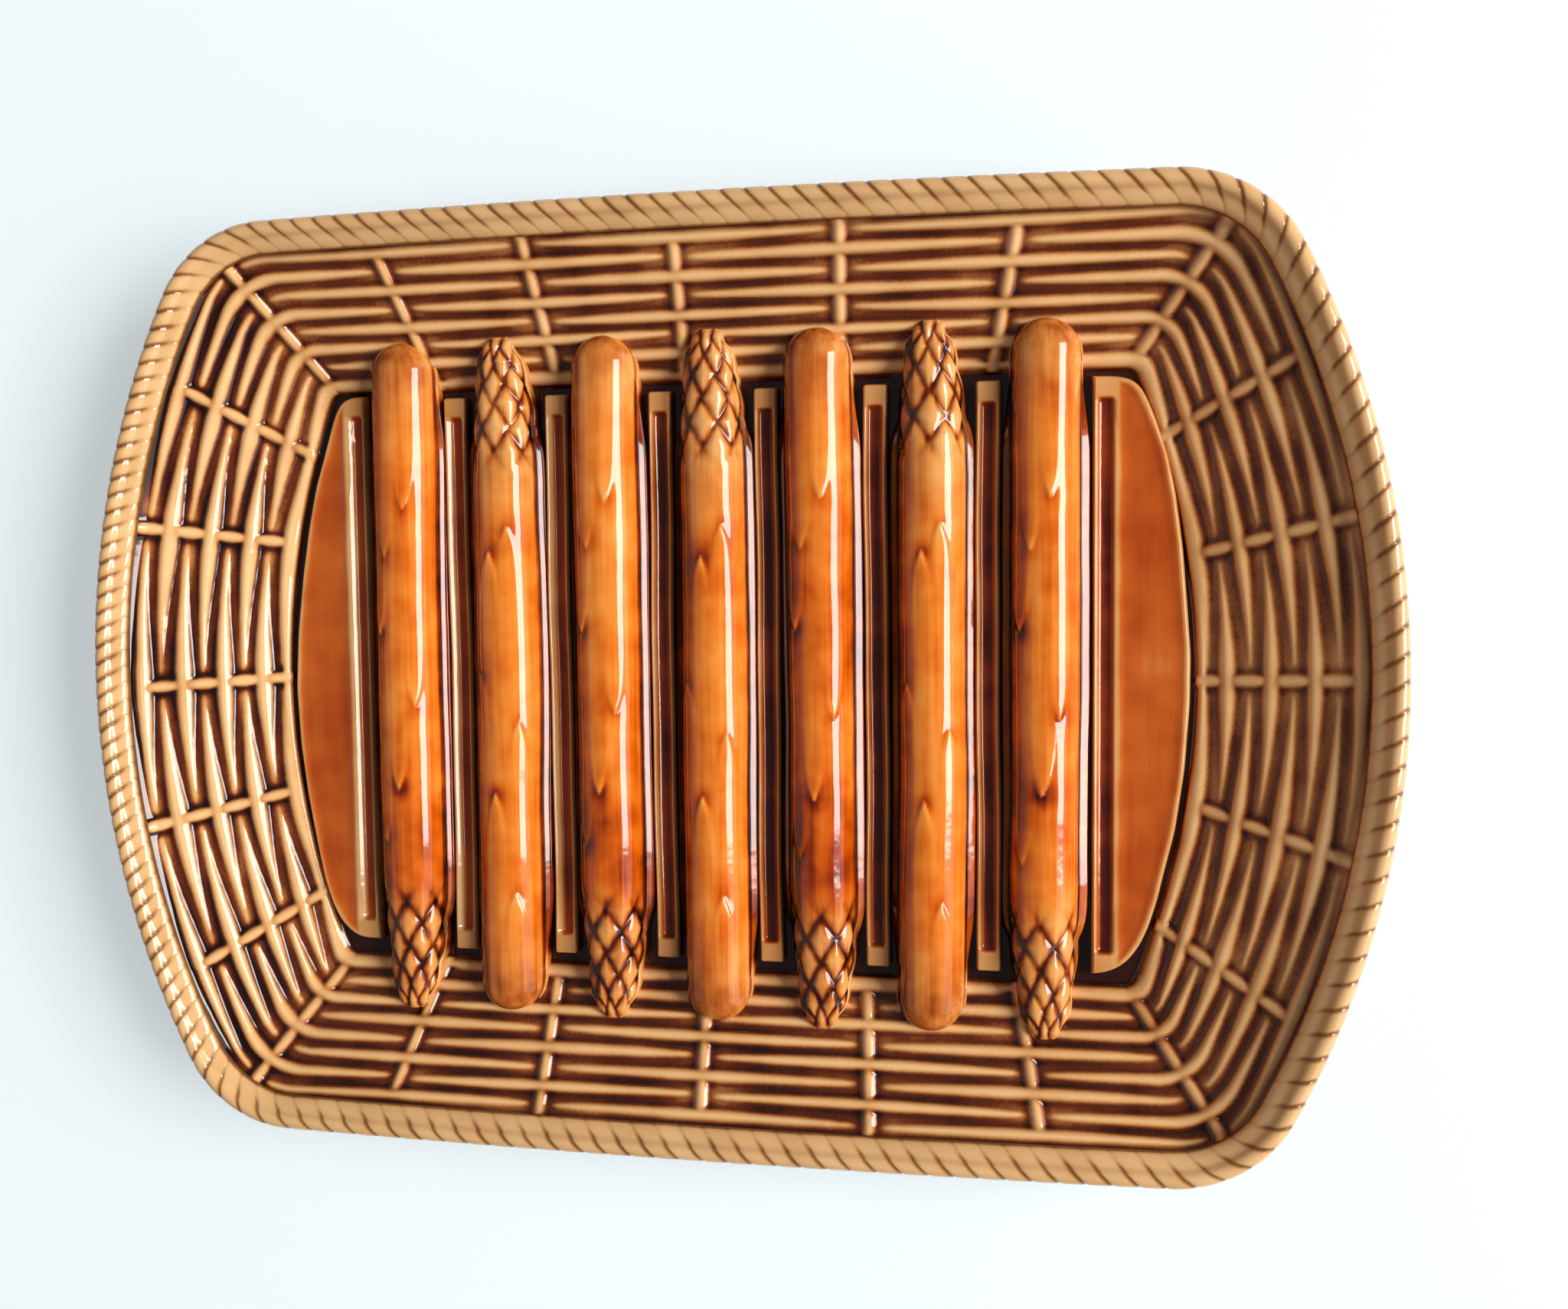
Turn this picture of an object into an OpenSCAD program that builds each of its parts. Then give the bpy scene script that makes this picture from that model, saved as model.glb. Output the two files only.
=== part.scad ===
// Oblong asparagus plate in glazed earthenware. A woven basket wall rises from a flat well to a
// rope border. Asparagus spears lie side by side in the well, with drip lands between them.
// Lengths are in millimetres. The origin is at the middle of the plate, on the surface it stands on.
// +X runs along the plate, +Y across it and +Z up.

/* [Plate] */
// Length over the rope border
plate_l = 370; // [350:1:420]
// Width over the rope border, at the middle of the long sides
plate_w = 268; // [250:1:310]
// Height from the table to the top of the rope border
plate_h = 35; // [32:0.5:42]
// How far each end swells out past its corners
end_bow = 36.4; // [30:0.2:42]
// How far each long side swells out past its corners
side_bow = 2.5; // [1:0.1:5]
// Corner radius of the outer edge
rim_corner_r = 36.6; // [30:0.2:42]
// Thickness of the clay in the floor and the wall
clay_t = 5; // [4:0.1:6.5]

/* [Foot] */
// Height of the foot ring under the floor
foot_h = 3; // [2:0.1:5]
// Width of the foot ring where it stands
foot_w = 5; // [3.5:0.1:8]
// Distance from the innermost woven row to the outer edge of the foot ring
foot_inset = 14; // [8:0.5:22]

/* [Rope border] */
// Width of the rope, seen from above
rope_w = 9.4; // [8:0.1:11]
// Height of the rope
rope_h = 7; // [5.5:0.1:8.5]
// Distance along the border from one strand of the rope to the next
lay_pitch = 7.3; // [6:0.1:10]
// Depth of the grooves between the strands of the rope
lay_groove = 0.7; // [0.3:0.05:1.2]
// How far the inner end of a groove lies ahead of its outer end, clockwise
lay_skew = 6; // [3:0.2:9]
// How far the rope laps down over the clay that carries it
rope_seat = 1.2; // [0.6:0.1:2]

/* [Woven wall] */
// Distance from the plate's edge to the middle of the outermost row
first_row_inset = 10.9; // [10:0.1:13]
// Drop from the top of the border to the middle of the outermost row
first_row_drop = 8.7; // [7.5:0.1:11]
// Run from the outermost to the innermost row, at the ends of the plate
end_run = 37.3; // [32:0.1:42]
// Run from the outermost to the innermost row, at the long sides
side_run = 34.8; // [30:0.1:40]
// Swell of the outermost row at the ends of the plate
outer_row_bow = 33; // [27:0.2:38]
// Swell of the innermost row at the ends of the plate
inner_row_bow = 16.9; // [12:0.2:22]
// Swell of every row at the long sides
row_side_bow = 0.5; // [0.3:0.1:1.5]
// Corner radius of the outermost row
outer_row_r = 22; // [16:0.5:26]
// Corner radius of the innermost row
inner_row_r = 6; // [4:0.5:12]
// Breadth of a withy where it passes over a stake
withy_w = 4.5; // [3.5:0.1:5]
// Thickness of a withy where it passes over a stake
withy_t = 3.6; // [2.6:0.1:4.4]
// Breadth and thickness of a withy at its pointed ends
withy_end = 1.1; // [0.6:0.1:1.6]
// Gap between a withy's point and the stake that hides it
withy_gap = 2.6; // [2:0.1:4]
// How far a withy lifts over a stake
withy_lift = 0.9; // [0.5:0.1:1.5]
// Diameter of a stake
stake_d = 3.9; // [3:0.1:4.8]
// Height of the withies' middle line over the clay behind them
weave_seat = 0.9; // [0.5:0.1:1.4]

/* [Well] */
// Height of the innermost row over the floor of the well
well_step = 2; // [1.4:0.1:3]
// Distance from the innermost row to the edge of the well's floor
well_inset = 3.5; // [2.5:0.1:5]
// Distance from the innermost row to the raised panels and lands, at the long sides
side_moat = 6.6; // [5.5:0.1:10]
// Distance from the innermost row to the raised panels, at the ends
end_moat = 6.9; // [5.5:0.1:10]
// Height of the panels and lands over the floor of the well
land_h = 4; // [3:0.1:5]
// Breadth of the land between two spears
land_w = 7.7; // [6.5:0.1:8.5]
// Breadth of the trough in a land
trough_w = 3.3; // [2.4:0.1:4.2]
// Depth of the troughs
trough_d = 2.2; // [1.4:0.1:2.8]
// Distance from the end of a land to the end of its trough
trough_inset = 6; // [4:0.5:9]
// Corner radius of the end panels
panel_r = 11; // [8:0.5:15]
// Swell of the end panels
panel_bow = 17; // [12:0.2:22]
// Breadth of an end panel at its middle, with its trough and the slim ridge beside the spear
end_panel_w = 23.7; // [20:0.1:27]
// Breadth of the slim ridge between an end panel's trough and its spear
ridge_w = 1.9; // [1.4:0.1:2.6]
// Breadth of the groove between an end panel and its spear
ridge_gap = 3; // [2.4:0.1:4]
// Breadth of the groove between a land and a spear
groove_w = 2.15; // [1.6:0.05:2.8]

/* [Spears] */
// How far a spear reaches past the innermost row
spear_reach = 10.8; // [7:0.2:13]
// Length of the tapered tip
tip_l = 42; // [34:1:50]
// Length of the rounded butt
butt_l = 7.5; // [5:0.5:10]
// Length of a scale on the tip
scale_l = 9.4; // [8:0.1:9.6]
// Height of a scale over the tip that carries it
scale_t = 1.1; // [0.7:0.1:1.6]
// Length of a leaf on the stalk
leaf_l = 21; // [16:0.5:26]
// Angle round the stalk that a leaf covers, in degrees
leaf_turn = 56; // [40:2:70]
// Height of a leaf over the stalk
leaf_t = 0.8; // [0.5:0.1:1.2]

/* [Hidden] */

clay_colour = [0.42, 0.17, 0.06];
withy_colour = [0.80, 0.55, 0.27];
rope_colour = [0.84, 0.60, 0.31];
spear_colour = [0.76, 0.39, 0.10];
scale_colour = [0.82, 0.52, 0.22];
land_colour = [0.62, 0.33, 0.14];

row_count = 8;
spear_count = 7;
// Steps in a quarter of an outline: along the end, round the corner and along the side
end_steps = 6;
corner_steps = 6;
side_steps = 4;
quarter_steps = end_steps + corner_steps + side_steps;
withy_sides = 6;
rope_sides = 8;
// Overrun of every cut
cut_over = 1;

half_l = plate_l / 2;
half_w = plate_w / 2;
floor_z = foot_h + clay_t;
inner_row_z = floor_z + well_step;
outer_row_z = plate_h - first_row_drop;
inner_row_a = half_l - first_row_inset - end_run;
inner_row_b = half_w - first_row_inset - side_run;
wall_slope = atan2(outer_row_z - inner_row_z, (end_run + side_run) / 2);
row_gap = norm([(end_run + side_run) / 2, outer_row_z - inner_row_z]) / (row_count - 1);
land_z = floor_z + land_h;
// The spears and lands share the room between the two end panels
spears_room = 2 * (inner_row_a - end_moat - end_panel_w - ridge_gap);
spear_pitch = (spears_room + land_w + 2 * groove_w) / spear_count;
spear_w = spear_pitch - land_w - 2 * groove_w;
spear_r = spear_w / 2;
spear_half = inner_row_b + spear_reach;

// Places of the stakes along the outermost and the innermost row, as shares of the rows' half
// lengths and half widths. The modeller set them by eye, so the sides differ a little.
far_outer_shares = [-0.545, -0.29, -0.04, 0.226, 0.5];
far_inner_shares = [-0.62, -0.342, -0.059, 0.27, 0.584];
right_outer_shares = [0.694, 0.354, 0.015, -0.362, -0.711];
right_inner_shares = [0.766, 0.394, 0.003, -0.387, -0.783];
near_outer_shares = [0.533, 0.263, -0.015, -0.291, -0.556];
near_inner_shares = [0.632, 0.318, -0.027, -0.364, -0.631];
left_outer_shares = [-0.702, -0.356, -0.019, 0.37, 0.704];
left_inner_shares = [-0.762, -0.397, -0.002, 0.464, 0.771];
corner_outer_shares = [0.805, 0.97];
corner_inner_shares = [0.866, 1];
// Stations along a withy from the stake it crosses to its point, and its girth there
station_shares = [0, 0.3, 0.6, 0.85, 1];
girth_shares = [1, 0.9, 0.62, 0.3, 0];
// Outline of a spear's tip: distance from the point, and radius
tip_shares = [[0, 0.14], [0.05, 0.32], [0.15, 0.5], [0.32, 0.72], [0.55, 0.9], [0.8, 0.985], [1, 1]];
// Rows of scales on a tip: places of their points, as shares of the tip, the angle from one scale
// to the next, the share of it that a scale covers, and the scales' places, as shares of it
scale_place_shares = [0.03, 0.18, 0.33, 0.48, 0.63];
scale_turn = 50;
scale_cover_share = 0.96;
scale_row_shares = [[-1, 0, 1], [-1.5, -0.5, 0.5, 1.5]];
// Places of the points of the leaves along a stalk, as shares of its length, and their angles
leaf_place_shares = [0.33, 0.46, 0.63, 0.8];
leaf_angles = [14, -38, -8, 32];

function mix(p, q, share) = p + (q - p) * share;
function arc(centre, radius, from, to, steps) = [for (i = [0:steps - 1])
    let (angle = mix(from, to, i / steps)) centre + radius * [cos(angle), sin(angle)]];
function mirrored(points, x, y) = [for (p = points) [p.x * x, p.y * y]];
function backwards(points) = [for (i = [len(points) - 1:-1:0]) points[i]];

// Barrel outline, given as [half length, half width, swell of the ends, swell of the sides,
// corner radius]. Each side is one shallow arc, and a round corner joins each pair.
function side_radius(o) = (o[0] * o[0] + o[3] * o[3]) / (2 * o[3]);
function end_radius(o) = (o[1] * o[1] + o[2] * o[2]) / (2 * o[2]);
function corner_centre(o) =
    let (
        side_y = o[1] - side_radius(o),
        end_x = o[0] - end_radius(o),
        side_reach = side_radius(o) - o[4],
        end_reach = end_radius(o) - o[4],
        span = norm([end_x, side_y]),
        along = (side_reach * side_reach - end_reach * end_reach + span * span) / (2 * span),
        across = sqrt(side_reach * side_reach - along * along),
        way = [end_x, -side_y] / span
    ) [0, side_y] + along * way + across * [way.y, -way.x];
function quarter(o) =
    let (
        side_y = o[1] - side_radius(o),
        end_x = o[0] - end_radius(o),
        q = corner_centre(o),
        end_angle = atan2(q.y, q.x - end_x),
        side_angle = atan2(q.y - side_y, q.x)
    ) concat(
        arc([end_x, 0], end_radius(o), 0, end_angle, end_steps),
        arc(q, o[4], end_angle, side_angle, corner_steps),
        arc([0, side_y], side_radius(o), side_angle, 90, side_steps)
    );
function outline(o) =
    let (
        q = quarter(o),
        rest = [for (i = [1:quarter_steps - 1]) q[i]]
    ) concat(
        q, [[0, o[1]]], mirrored(backwards(rest), -1, 1),
        mirrored(q, -1, -1), [[0, -o[1]]], mirrored(backwards(rest), 1, -1)
    );
function inset(o, by) = [o[0] - by, o[1] - by, o[2], o[3], o[4] - by];
function lifted(points, z) = [for (p = points) [p.x, p.y, z]];

rim = [half_l, half_w, end_bow, side_bow, rim_corner_r];
outer_row = [half_l - first_row_inset, half_w - first_row_inset, outer_row_bow, row_side_bow, outer_row_r];
inner_row = [inner_row_a, inner_row_b, inner_row_bow, row_side_bow, inner_row_r];
panel = [inner_row_a - end_moat, inner_row_b - side_moat, panel_bow, row_side_bow, panel_r];
function row(place) = mix(outer_row, inner_row, place);
function row_z(place) = mix(outer_row_z, inner_row_z, place);
function row_place(r) = (r - 1) / (row_count - 1);

// Point of an outline at a polar angle
function turn(p) = (atan2(p.y, p.x) + 360) % 360;
function turn_table(points, i) = concat([for (p = points) [turn(p), p[i]]], [[360, points[0][i]]]);
function at_turn(points, angle) =
    let (a = (angle + 360) % 360) [lookup(a, turn_table(points, 0)), lookup(a, turn_table(points, 1))];

// Places of the stakes in plan, clockwise from the far left corner
function corner_place(o, shares, x, y) = [o[0] * shares.x * x, o[1] * shares.y * y];
function side_places(o, shares, y) = [for (s = shares) [o[0] * s, o[1] * y]];
function end_places(o, shares, x) = [for (s = shares) [(o[0] - o[2] * s * s) * x, o[1] * s]];
function stake_places(o, corner, far, right, near, left) = concat(
    [corner_place(o, corner, -1, 1)], side_places(o, far, 1),
    [corner_place(o, corner, 1, 1)], end_places(o, right, 1),
    [corner_place(o, corner, 1, -1)], side_places(o, near, -1),
    [corner_place(o, corner, -1, -1)], end_places(o, left, -1)
);
stakes_out = stake_places(outer_row, corner_outer_shares, far_outer_shares, right_outer_shares,
    near_outer_shares, left_outer_shares);
stakes_in = stake_places(inner_row, corner_inner_shares, far_inner_shares, right_inner_shares,
    near_inner_shares, left_inner_shares);
stake_count = len(stakes_out);
function stake_plan(k, place) = mix(stakes_out[k % stake_count], stakes_in[k % stake_count], place);

// Solid skin over a list of rings, which is closed by flat ends or runs round to its first ring
module skin(rings, round_trip = false) {
    sides = len(rings[0]);
    count = len(rings);
    last = round_trip ? count : count - 1;
    first_end = [for (j = [0:sides - 1]) j];
    last_end = [for (j = [sides - 1:-1:0]) (count - 1) * sides + j];
    ends = round_trip ? [] : [first_end, last_end];
    sheets = [for (i = [0:last - 1], j = [0:sides - 1])
        let (
            here = i * sides,
            next = ((i + 1) % count) * sides,
            side = (j + 1) % sides
        ) each [[here + j, next + j, next + side], [here + j, next + side, here + side]]];
    polyhedron([for (ring = rings) each ring], concat(sheets, ends), convexity = 6);
}

// Directions up the slope of the wall and square off it, where the wall faces out in plan
function up_wall(out) = [out.x * cos(wall_slope), out.y * cos(wall_slope), sin(wall_slope)];
function off_wall(out) = [-out.x * sin(wall_slope), -out.y * sin(wall_slope), cos(wall_slope)];
// Oval ring of points across a withy
function oval(centre, out, breadth, thick) = [for (i = [0:withy_sides - 1])
    let (
        a = 360 * i / withy_sides,
        up = up_wall(out) * cos(a) * breadth / 2,
        off = off_wall(out) * sin(a) * thick / 2
    ) centre + up + off];
// Outward direction at a point of an outline, from its neighbours a small turn away
probe_turn = 0.5;
function outward(points, angle) =
    let (
        along = at_turn(points, angle + probe_turn) - at_turn(points, angle - probe_turn)
    ) [along.y, -along.x] / norm(along);

// Rings of one withy, which passes over stake k and hides its points behind stakes k-1 and k+1
function withy_rings(r, k) =
    let (
        place = row_place(r),
        loop = outline(row(place)),
        here = stake_plan(k + stake_count, place),
        ends = [stake_plan(k + stake_count - 1, place), stake_plan(k + stake_count + 1, place)],
        last = len(station_shares) - 1,
        order = concat([for (i = [last:-1:1]) [0, i]], [for (i = [0:last]) [1, i]])
    ) [for (step = order)
        let (
            away = ends[step[0]] - here,
            reach = norm(away) - withy_gap,
            girth = girth_shares[step[1]],
            spot = here + away / norm(away) * reach * station_shares[step[1]],
            angle = atan2(spot.y, spot.x),
            out = outward(loop, angle),
            flat = at_turn(loop, angle),
            centre = [flat.x, flat.y, row_z(place)] + off_wall(out) * withy_lift * girth
        ) oval(centre, out, mix(withy_end, withy_w, girth), mix(withy_end, withy_t, girth))];

module woven_row(r) {
    color(withy_colour)
    for (k = [r % 2:2:stake_count - 1]) skin(withy_rings(r, k));
}

// Stake segments that show where a row passes behind stake k
function stake_spot(k, place) =
    let (
        flat = stake_plan(k, place),
        loop = outline(row(place)),
        angle = atan2(flat.y, flat.x),
        p = at_turn(loop, angle)
    ) [p.x, p.y, row_z(place)];
module stake(k) {
    top = stake_spot(k, 0);
    bottom = stake_spot(k, 1);
    way = bottom - top;
    seen_l = 2 * row_gap - withy_w;
    for (r = [1 + k % 2:2:row_count]) {
        middle = mix(top, bottom, row_place(r));
        translate(middle)
        rotate([0, acos(way.z / norm(way)), atan2(way.y, way.x)])
        cylinder(h = seen_l, d = stake_d, center = true, $fn = 24);
    }
}
module stakes(from, to) {
    color(withy_colour)
    for (k = [from:to]) stake(k);
}
module far_side_stakes() stakes(1, 5);
module right_end_stakes() stakes(7, 11);
module near_side_stakes() stakes(13, 17);
module left_end_stakes() stakes(19, 23);
module corner_stakes() {
    color(withy_colour)
    for (k = [0:stake_count / 4:stake_count - 1]) stake(k);
}

// The dish: a flat floor and a flared wall, which ends in the lip that carries the rope
lip_z = plate_h - rope_h + rope_seat;
lip_out = rope_w / 4;
lip_in = rope_w * 3 / 4;
module dish_body() {
    color(clay_colour)
    skin([
        lifted(outline(inset(inner_row, well_inset)), foot_h),
        lifted(outline(inset(rim, lip_out)), lip_z - clay_t),
        lifted(outline(inset(rim, lip_out)), lip_z),
        lifted(outline(inset(rim, lip_in)), lip_z),
        lifted(outline(row(0)), outer_row_z - weave_seat),
        lifted(outline(row(1)), inner_row_z - weave_seat),
        lifted(outline(inset(inner_row, well_inset)), floor_z)
    ]);
}

module foot_ring() {
    foot = inset(inner_row, foot_inset);
    foot_r = inner_row_r + foot_w * 2;
    outer = [foot[0], foot[1], foot[2], foot[3], foot_r];
    inner = [foot[0] - foot_w, foot[1] - foot_w, foot[2], foot[3], foot_r - foot_w];
    color(clay_colour)
    linear_extrude(foot_h)
    difference() {
        polygon(outline(outer));
        polygon(outline(inner));
    }
}

// The rope border: strands laid at a slant, with a groove between each pair
rope_path = outline(inset(rim, rope_w / 2));
rope_steps = len(rope_path);
rope_z = plate_h - rope_h / 2;
rope_runs = [for (i = 0, run = 0; i <= rope_steps;
    run = run + norm(rope_path[(i + 1) % rope_steps] - rope_path[i % rope_steps]), i = i + 1) run];
rope_length = rope_runs[rope_steps];
strand_count = floor(rope_length / lay_pitch);
function rope_table(i) = [for (n = [0:rope_steps]) [rope_runs[n], rope_path[n % rope_steps][i]]];
rope_table_x = rope_table(0);
rope_table_y = rope_table(1);
function rope_spot(run) =
    let (r = (run + rope_length) % rope_length) [lookup(r, rope_table_x), lookup(r, rope_table_y)];
function rope_out(run) =
    let (
        along = rope_spot(run + lay_pitch / 2) - rope_spot(run - lay_pitch / 2)
    ) [along.y, -along.x] / norm(along);
function rope_point(run, a, groove) =
    let (
        at = run + cos(a) * lay_skew / 2,
        flat = rope_spot(at),
        out = rope_out(at) * cos(a) * (rope_w / 2 - groove)
    ) [flat.x + out.x, flat.y + out.y, rope_z + sin(a) * (rope_h / 2 - groove)];
module rope_border() {
    color(rope_colour)
    skin([for (i = [0:2 * strand_count - 1]) [for (j = [0:rope_sides - 1])
        rope_point(i * rope_length / strand_count / 2, -360 * j / rope_sides, (i % 2) * lay_groove)
    ]], true);
}

// Lands between the spears, each with a trough along it
module drip_lands() {
    land_l = 2 * (inner_row_b - side_moat);
    color(land_colour)
    for (i = [1:spear_count - 1]) {
        x = (i - spear_count / 2) * spear_pitch;
        difference() {
            translate([x - land_w / 2, -land_l / 2, floor_z])
            cube([land_w, land_l, land_h]);
            translate([x - trough_w / 2, trough_inset - land_l / 2, land_z - trough_d])
            cube([trough_w, land_l - 2 * trough_inset, trough_d + cut_over]);
        }
    }
}

// D-shaped panel that fills the end of the well, with a trough and a slim ridge beside the spear
module end_panel(side) {
    edge = panel[0] - end_panel_w;
    panel_l = 2 * panel[1];
    color(land_colour)
    difference() {
        translate([0, 0, floor_z])
        linear_extrude(land_h)
        intersection() {
            polygon(outline(panel));
            translate([side > 0 ? edge : -edge - end_panel_w - cut_over, -panel_l / 2 - cut_over])
            square([end_panel_w + cut_over, panel_l + 2 * cut_over]);
        }
        translate([side * (edge + ridge_w + trough_w / 2) - trough_w / 2, trough_inset - panel_l / 2,
            land_z - trough_d])
        cube([trough_w, panel_l - 2 * trough_inset, trough_d + cut_over]);
    }
}
module left_end_panel() end_panel(-1);
module right_end_panel() end_panel(1);

// A spear lies along Y, and is widest level with the lands. Its outline runs from the point to the
// butt, both on its axis.
spear_l = 2 * spear_half;
tip_outline = [for (s = tip_shares) [s.y * spear_r, s.x * tip_l]];
tip_table = [for (p = tip_outline) [p.y, p.x]];
function spear_radius(from_point) = lookup(from_point, tip_table);
butt_turns = [0:15:75];
module stalk() {
    rotate([-90, 0, 0])
    rotate_extrude($fn = 64)
    polygon(concat(
        [[0, 0]], tip_outline,
        [for (a = butt_turns) [spear_r * cos(a), spear_l - butt_l + butt_l * sin(a)]],
        [[0, spear_l]]
    ));
}
// The room over the floor and the wall, in which the spears lie
module well_room() {
    rise = row_z(0) - row_z(1);
    foot_y = inner_row_b - (inner_row_z - weave_seat - floor_z) * side_run / rise;
    top_y = inner_row_b + side_run;
    translate([-spear_r - cut_over, 0, 0])
    rotate([90, 0, 90])
    linear_extrude(spear_w + 2 * cut_over)
    polygon([
        [-top_y, outer_row_z], [-foot_y, floor_z],
        [foot_y, floor_z], [top_y, outer_row_z], [top_y, plate_h], [-top_y, plate_h]
    ]);
}
// Puts a thing drawn from a spear's point, along +Y, on spear i: odd spears point to the near side
module on_spear(i) {
    turned = i % 2 == 1 ? 0 : 180;
    translate([(i - (spear_count + 1) / 2) * spear_pitch, 0, 0])
    rotate([0, 0, turned])
    translate([0, -spear_half, land_z])
    children();
}
module spear(i) {
    color(spear_colour)
    intersection() {
        on_spear(i) stalk();
        translate([(i - (spear_count + 1) / 2) * spear_pitch, 0, 0]) well_room();
    }
}
module spear_1() spear(1);
module spear_2() spear(2);
module spear_3() spear(3);
module spear_4() spear(4);
module spear_5() spear(5);
module spear_6() spear(6);
module spear_7() spear(7);

// A scale or leaf: a kite on the skin of the spear, with its point raised. It starts at the point,
// from_point along the axis, and lies at an angle from the top.
kite_shares = [[0, 0], [0.35, 0.5], [1, 0], [0.35, -0.5]];
kite_middle_share = 0.4;
function on_skin(along, angle, over) =
    let (r = spear_radius(along) + over) [r * sin(angle), along, r * cos(angle)];
module kite(from_point, angle, length, half_turn, thick) {
    top = [for (s = kite_shares)
        on_skin(from_point + s.x * length, angle + 2 * s.y * half_turn, s.x == 0 ? thick / 2 : thick / 4)];
    bottom = [for (s = kite_shares)
        on_skin(from_point + s.x * length, angle + 2 * s.y * half_turn, -thick)];
    ridge = on_skin(from_point + kite_middle_share * length, angle, thick);
    polyhedron(concat(top, bottom, [ridge]), [
        [1, 0, 8], [2, 1, 8], [3, 2, 8], [0, 3, 8],
        [4, 0, 5], [5, 0, 1], [5, 1, 6], [6, 1, 2], [6, 2, 7], [7, 2, 3], [7, 3, 4], [4, 3, 0],
        [7, 4, 6], [6, 4, 5]
    ]);
}
module tip_scales() {
    color(scale_colour)
    for (i = [1:spear_count])
        on_spear(i)
        for (n = [0:len(scale_place_shares) - 1], s = scale_row_shares[n % 2])
            kite(scale_place_shares[n] * tip_l, s * scale_turn, scale_l,
                scale_turn * scale_cover_share / 2, scale_t);
}
module stalk_leaves() {
    color(spear_colour)
    for (i = [1:spear_count])
        on_spear(i)
        for (n = [0:len(leaf_place_shares) - 1])
            kite(leaf_place_shares[n] * spear_l, leaf_angles[n], leaf_l, leaf_turn / 2, leaf_t);
}

dish_body();
foot_ring();
rope_border();
woven_row(1);  // woven_row_1
woven_row(2);  // woven_row_2
woven_row(3);  // woven_row_3
woven_row(4);  // woven_row_4
woven_row(5);  // woven_row_5
woven_row(6);  // woven_row_6
woven_row(7);  // woven_row_7
woven_row(8);  // woven_row_8
far_side_stakes();
right_end_stakes();
near_side_stakes();
left_end_stakes();
corner_stakes();
drip_lands();
left_end_panel();
right_end_panel();
spear_1();
spear_2();
spear_3();
spear_4();
spear_5();
spear_6();
spear_7();
tip_scales();
stalk_leaves();
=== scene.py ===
"""Asparagus plate of honey-brown glazed earthenware, on a pale floor, seen from above.

The classes hold the plate's sizes in millimetres, and meshes are made in metres. +X runs along
the plate, +Y across it to the far side and +Z up. Stakes are counted clockwise from the far
left corner.
"""

import logging
import math
from dataclasses import astuple, dataclass, replace
from enum import Enum

import bpy
import numpy as np
from mathutils import Matrix


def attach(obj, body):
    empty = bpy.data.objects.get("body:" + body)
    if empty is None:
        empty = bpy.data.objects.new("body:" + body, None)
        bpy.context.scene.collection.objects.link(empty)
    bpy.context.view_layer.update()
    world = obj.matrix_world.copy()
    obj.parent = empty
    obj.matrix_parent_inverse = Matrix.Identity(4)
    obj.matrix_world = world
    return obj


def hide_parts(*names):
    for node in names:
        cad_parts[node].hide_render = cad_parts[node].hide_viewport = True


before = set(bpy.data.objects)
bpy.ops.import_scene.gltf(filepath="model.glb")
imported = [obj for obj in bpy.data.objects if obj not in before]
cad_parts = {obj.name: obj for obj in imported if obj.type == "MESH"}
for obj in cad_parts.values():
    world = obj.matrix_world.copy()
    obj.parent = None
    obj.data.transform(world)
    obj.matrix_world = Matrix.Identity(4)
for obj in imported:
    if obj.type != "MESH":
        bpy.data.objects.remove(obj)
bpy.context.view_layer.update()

log = logging.getLogger("asparagus_plate")

MM = 0.001
# Least length that anything is divided by
TINY = 1e-12
# Seeds of the random numbers of the wall and the rope, and of the spear before the first
WALL_SEED = 20
ROPE_SEED = 21
SPEAR_SEED = 30
# Stakes round the wall, and how many of them are laid out again ahead of the first
STAKES = 24
AHEAD = 3


# Numbers and colours


def mix(first: float, last: float, share: float) -> float:
    """Returns the value at a share of the way from first to last."""
    return first + (last - first) * share


def ease(value: np.ndarray, low: float, high: float) -> np.ndarray:
    """Smooth step.

    Args:
        value: The values to place.
        low: Where the step starts, at 0.
        high: Where it ends, at 1.

    Returns:
        The height of the step at each value.
    """
    share = np.clip((value - low) / (high - low), 0.0, 1.0)
    return share * share * (3 - 2 * share)


@dataclass(frozen=True)
class Ramp:
    """Smooth step from 0 up to a gain, over a range."""

    low: float
    high: float
    gain: float = 1.0

    def at(self, value: np.ndarray | float) -> np.ndarray:
        """Returns the height of the step at each value."""
        return self.gain * ease(value, self.low, self.high)

    def left(self, value: np.ndarray | float) -> np.ndarray:
        """Returns how much the step has still to rise at each value."""
        return self.gain * (1 - ease(value, self.low, self.high))


def soft_max(first: np.ndarray, second: np.ndarray, blend: float) -> np.ndarray:
    """Larger of two heights, with a fillet where they meet.

    Args:
        first: Heights of one form.
        second: Heights of the other.
        blend: Height over which the fillet runs.

    Returns:
        The joined heights.
    """
    near = np.clip(1 - np.abs(first - second) / blend, 0.0, 1.0)
    return np.maximum(first, second) + near * near * blend / 4


def blurred(values: np.ndarray, steps: tuple[int, int], wrap: tuple[bool, bool]) -> np.ndarray:
    """Runs a small average over a grid.

    Args:
        values: Grid of values.
        steps: How often each direction is averaged.
        wrap: Whether each direction closes on itself.

    Returns:
        The averaged grid.
    """
    out = values
    for axis in (0, 1):
        for _ in range(steps[axis]):
            if wrap[axis]:
                ahead, behind = np.roll(out, -1, axis), np.roll(out, 1, axis)
            else:
                ends = [(1, 1) if a == axis else (0, 0) for a in (0, 1)]
                wide = np.pad(out, ends, mode="edge")
                ahead = wide.take(range(2, wide.shape[axis]), axis)
                behind = wide.take(range(wide.shape[axis] - 2), axis)
            out = (ahead + 2 * out + behind) / 4
    return out


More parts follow.
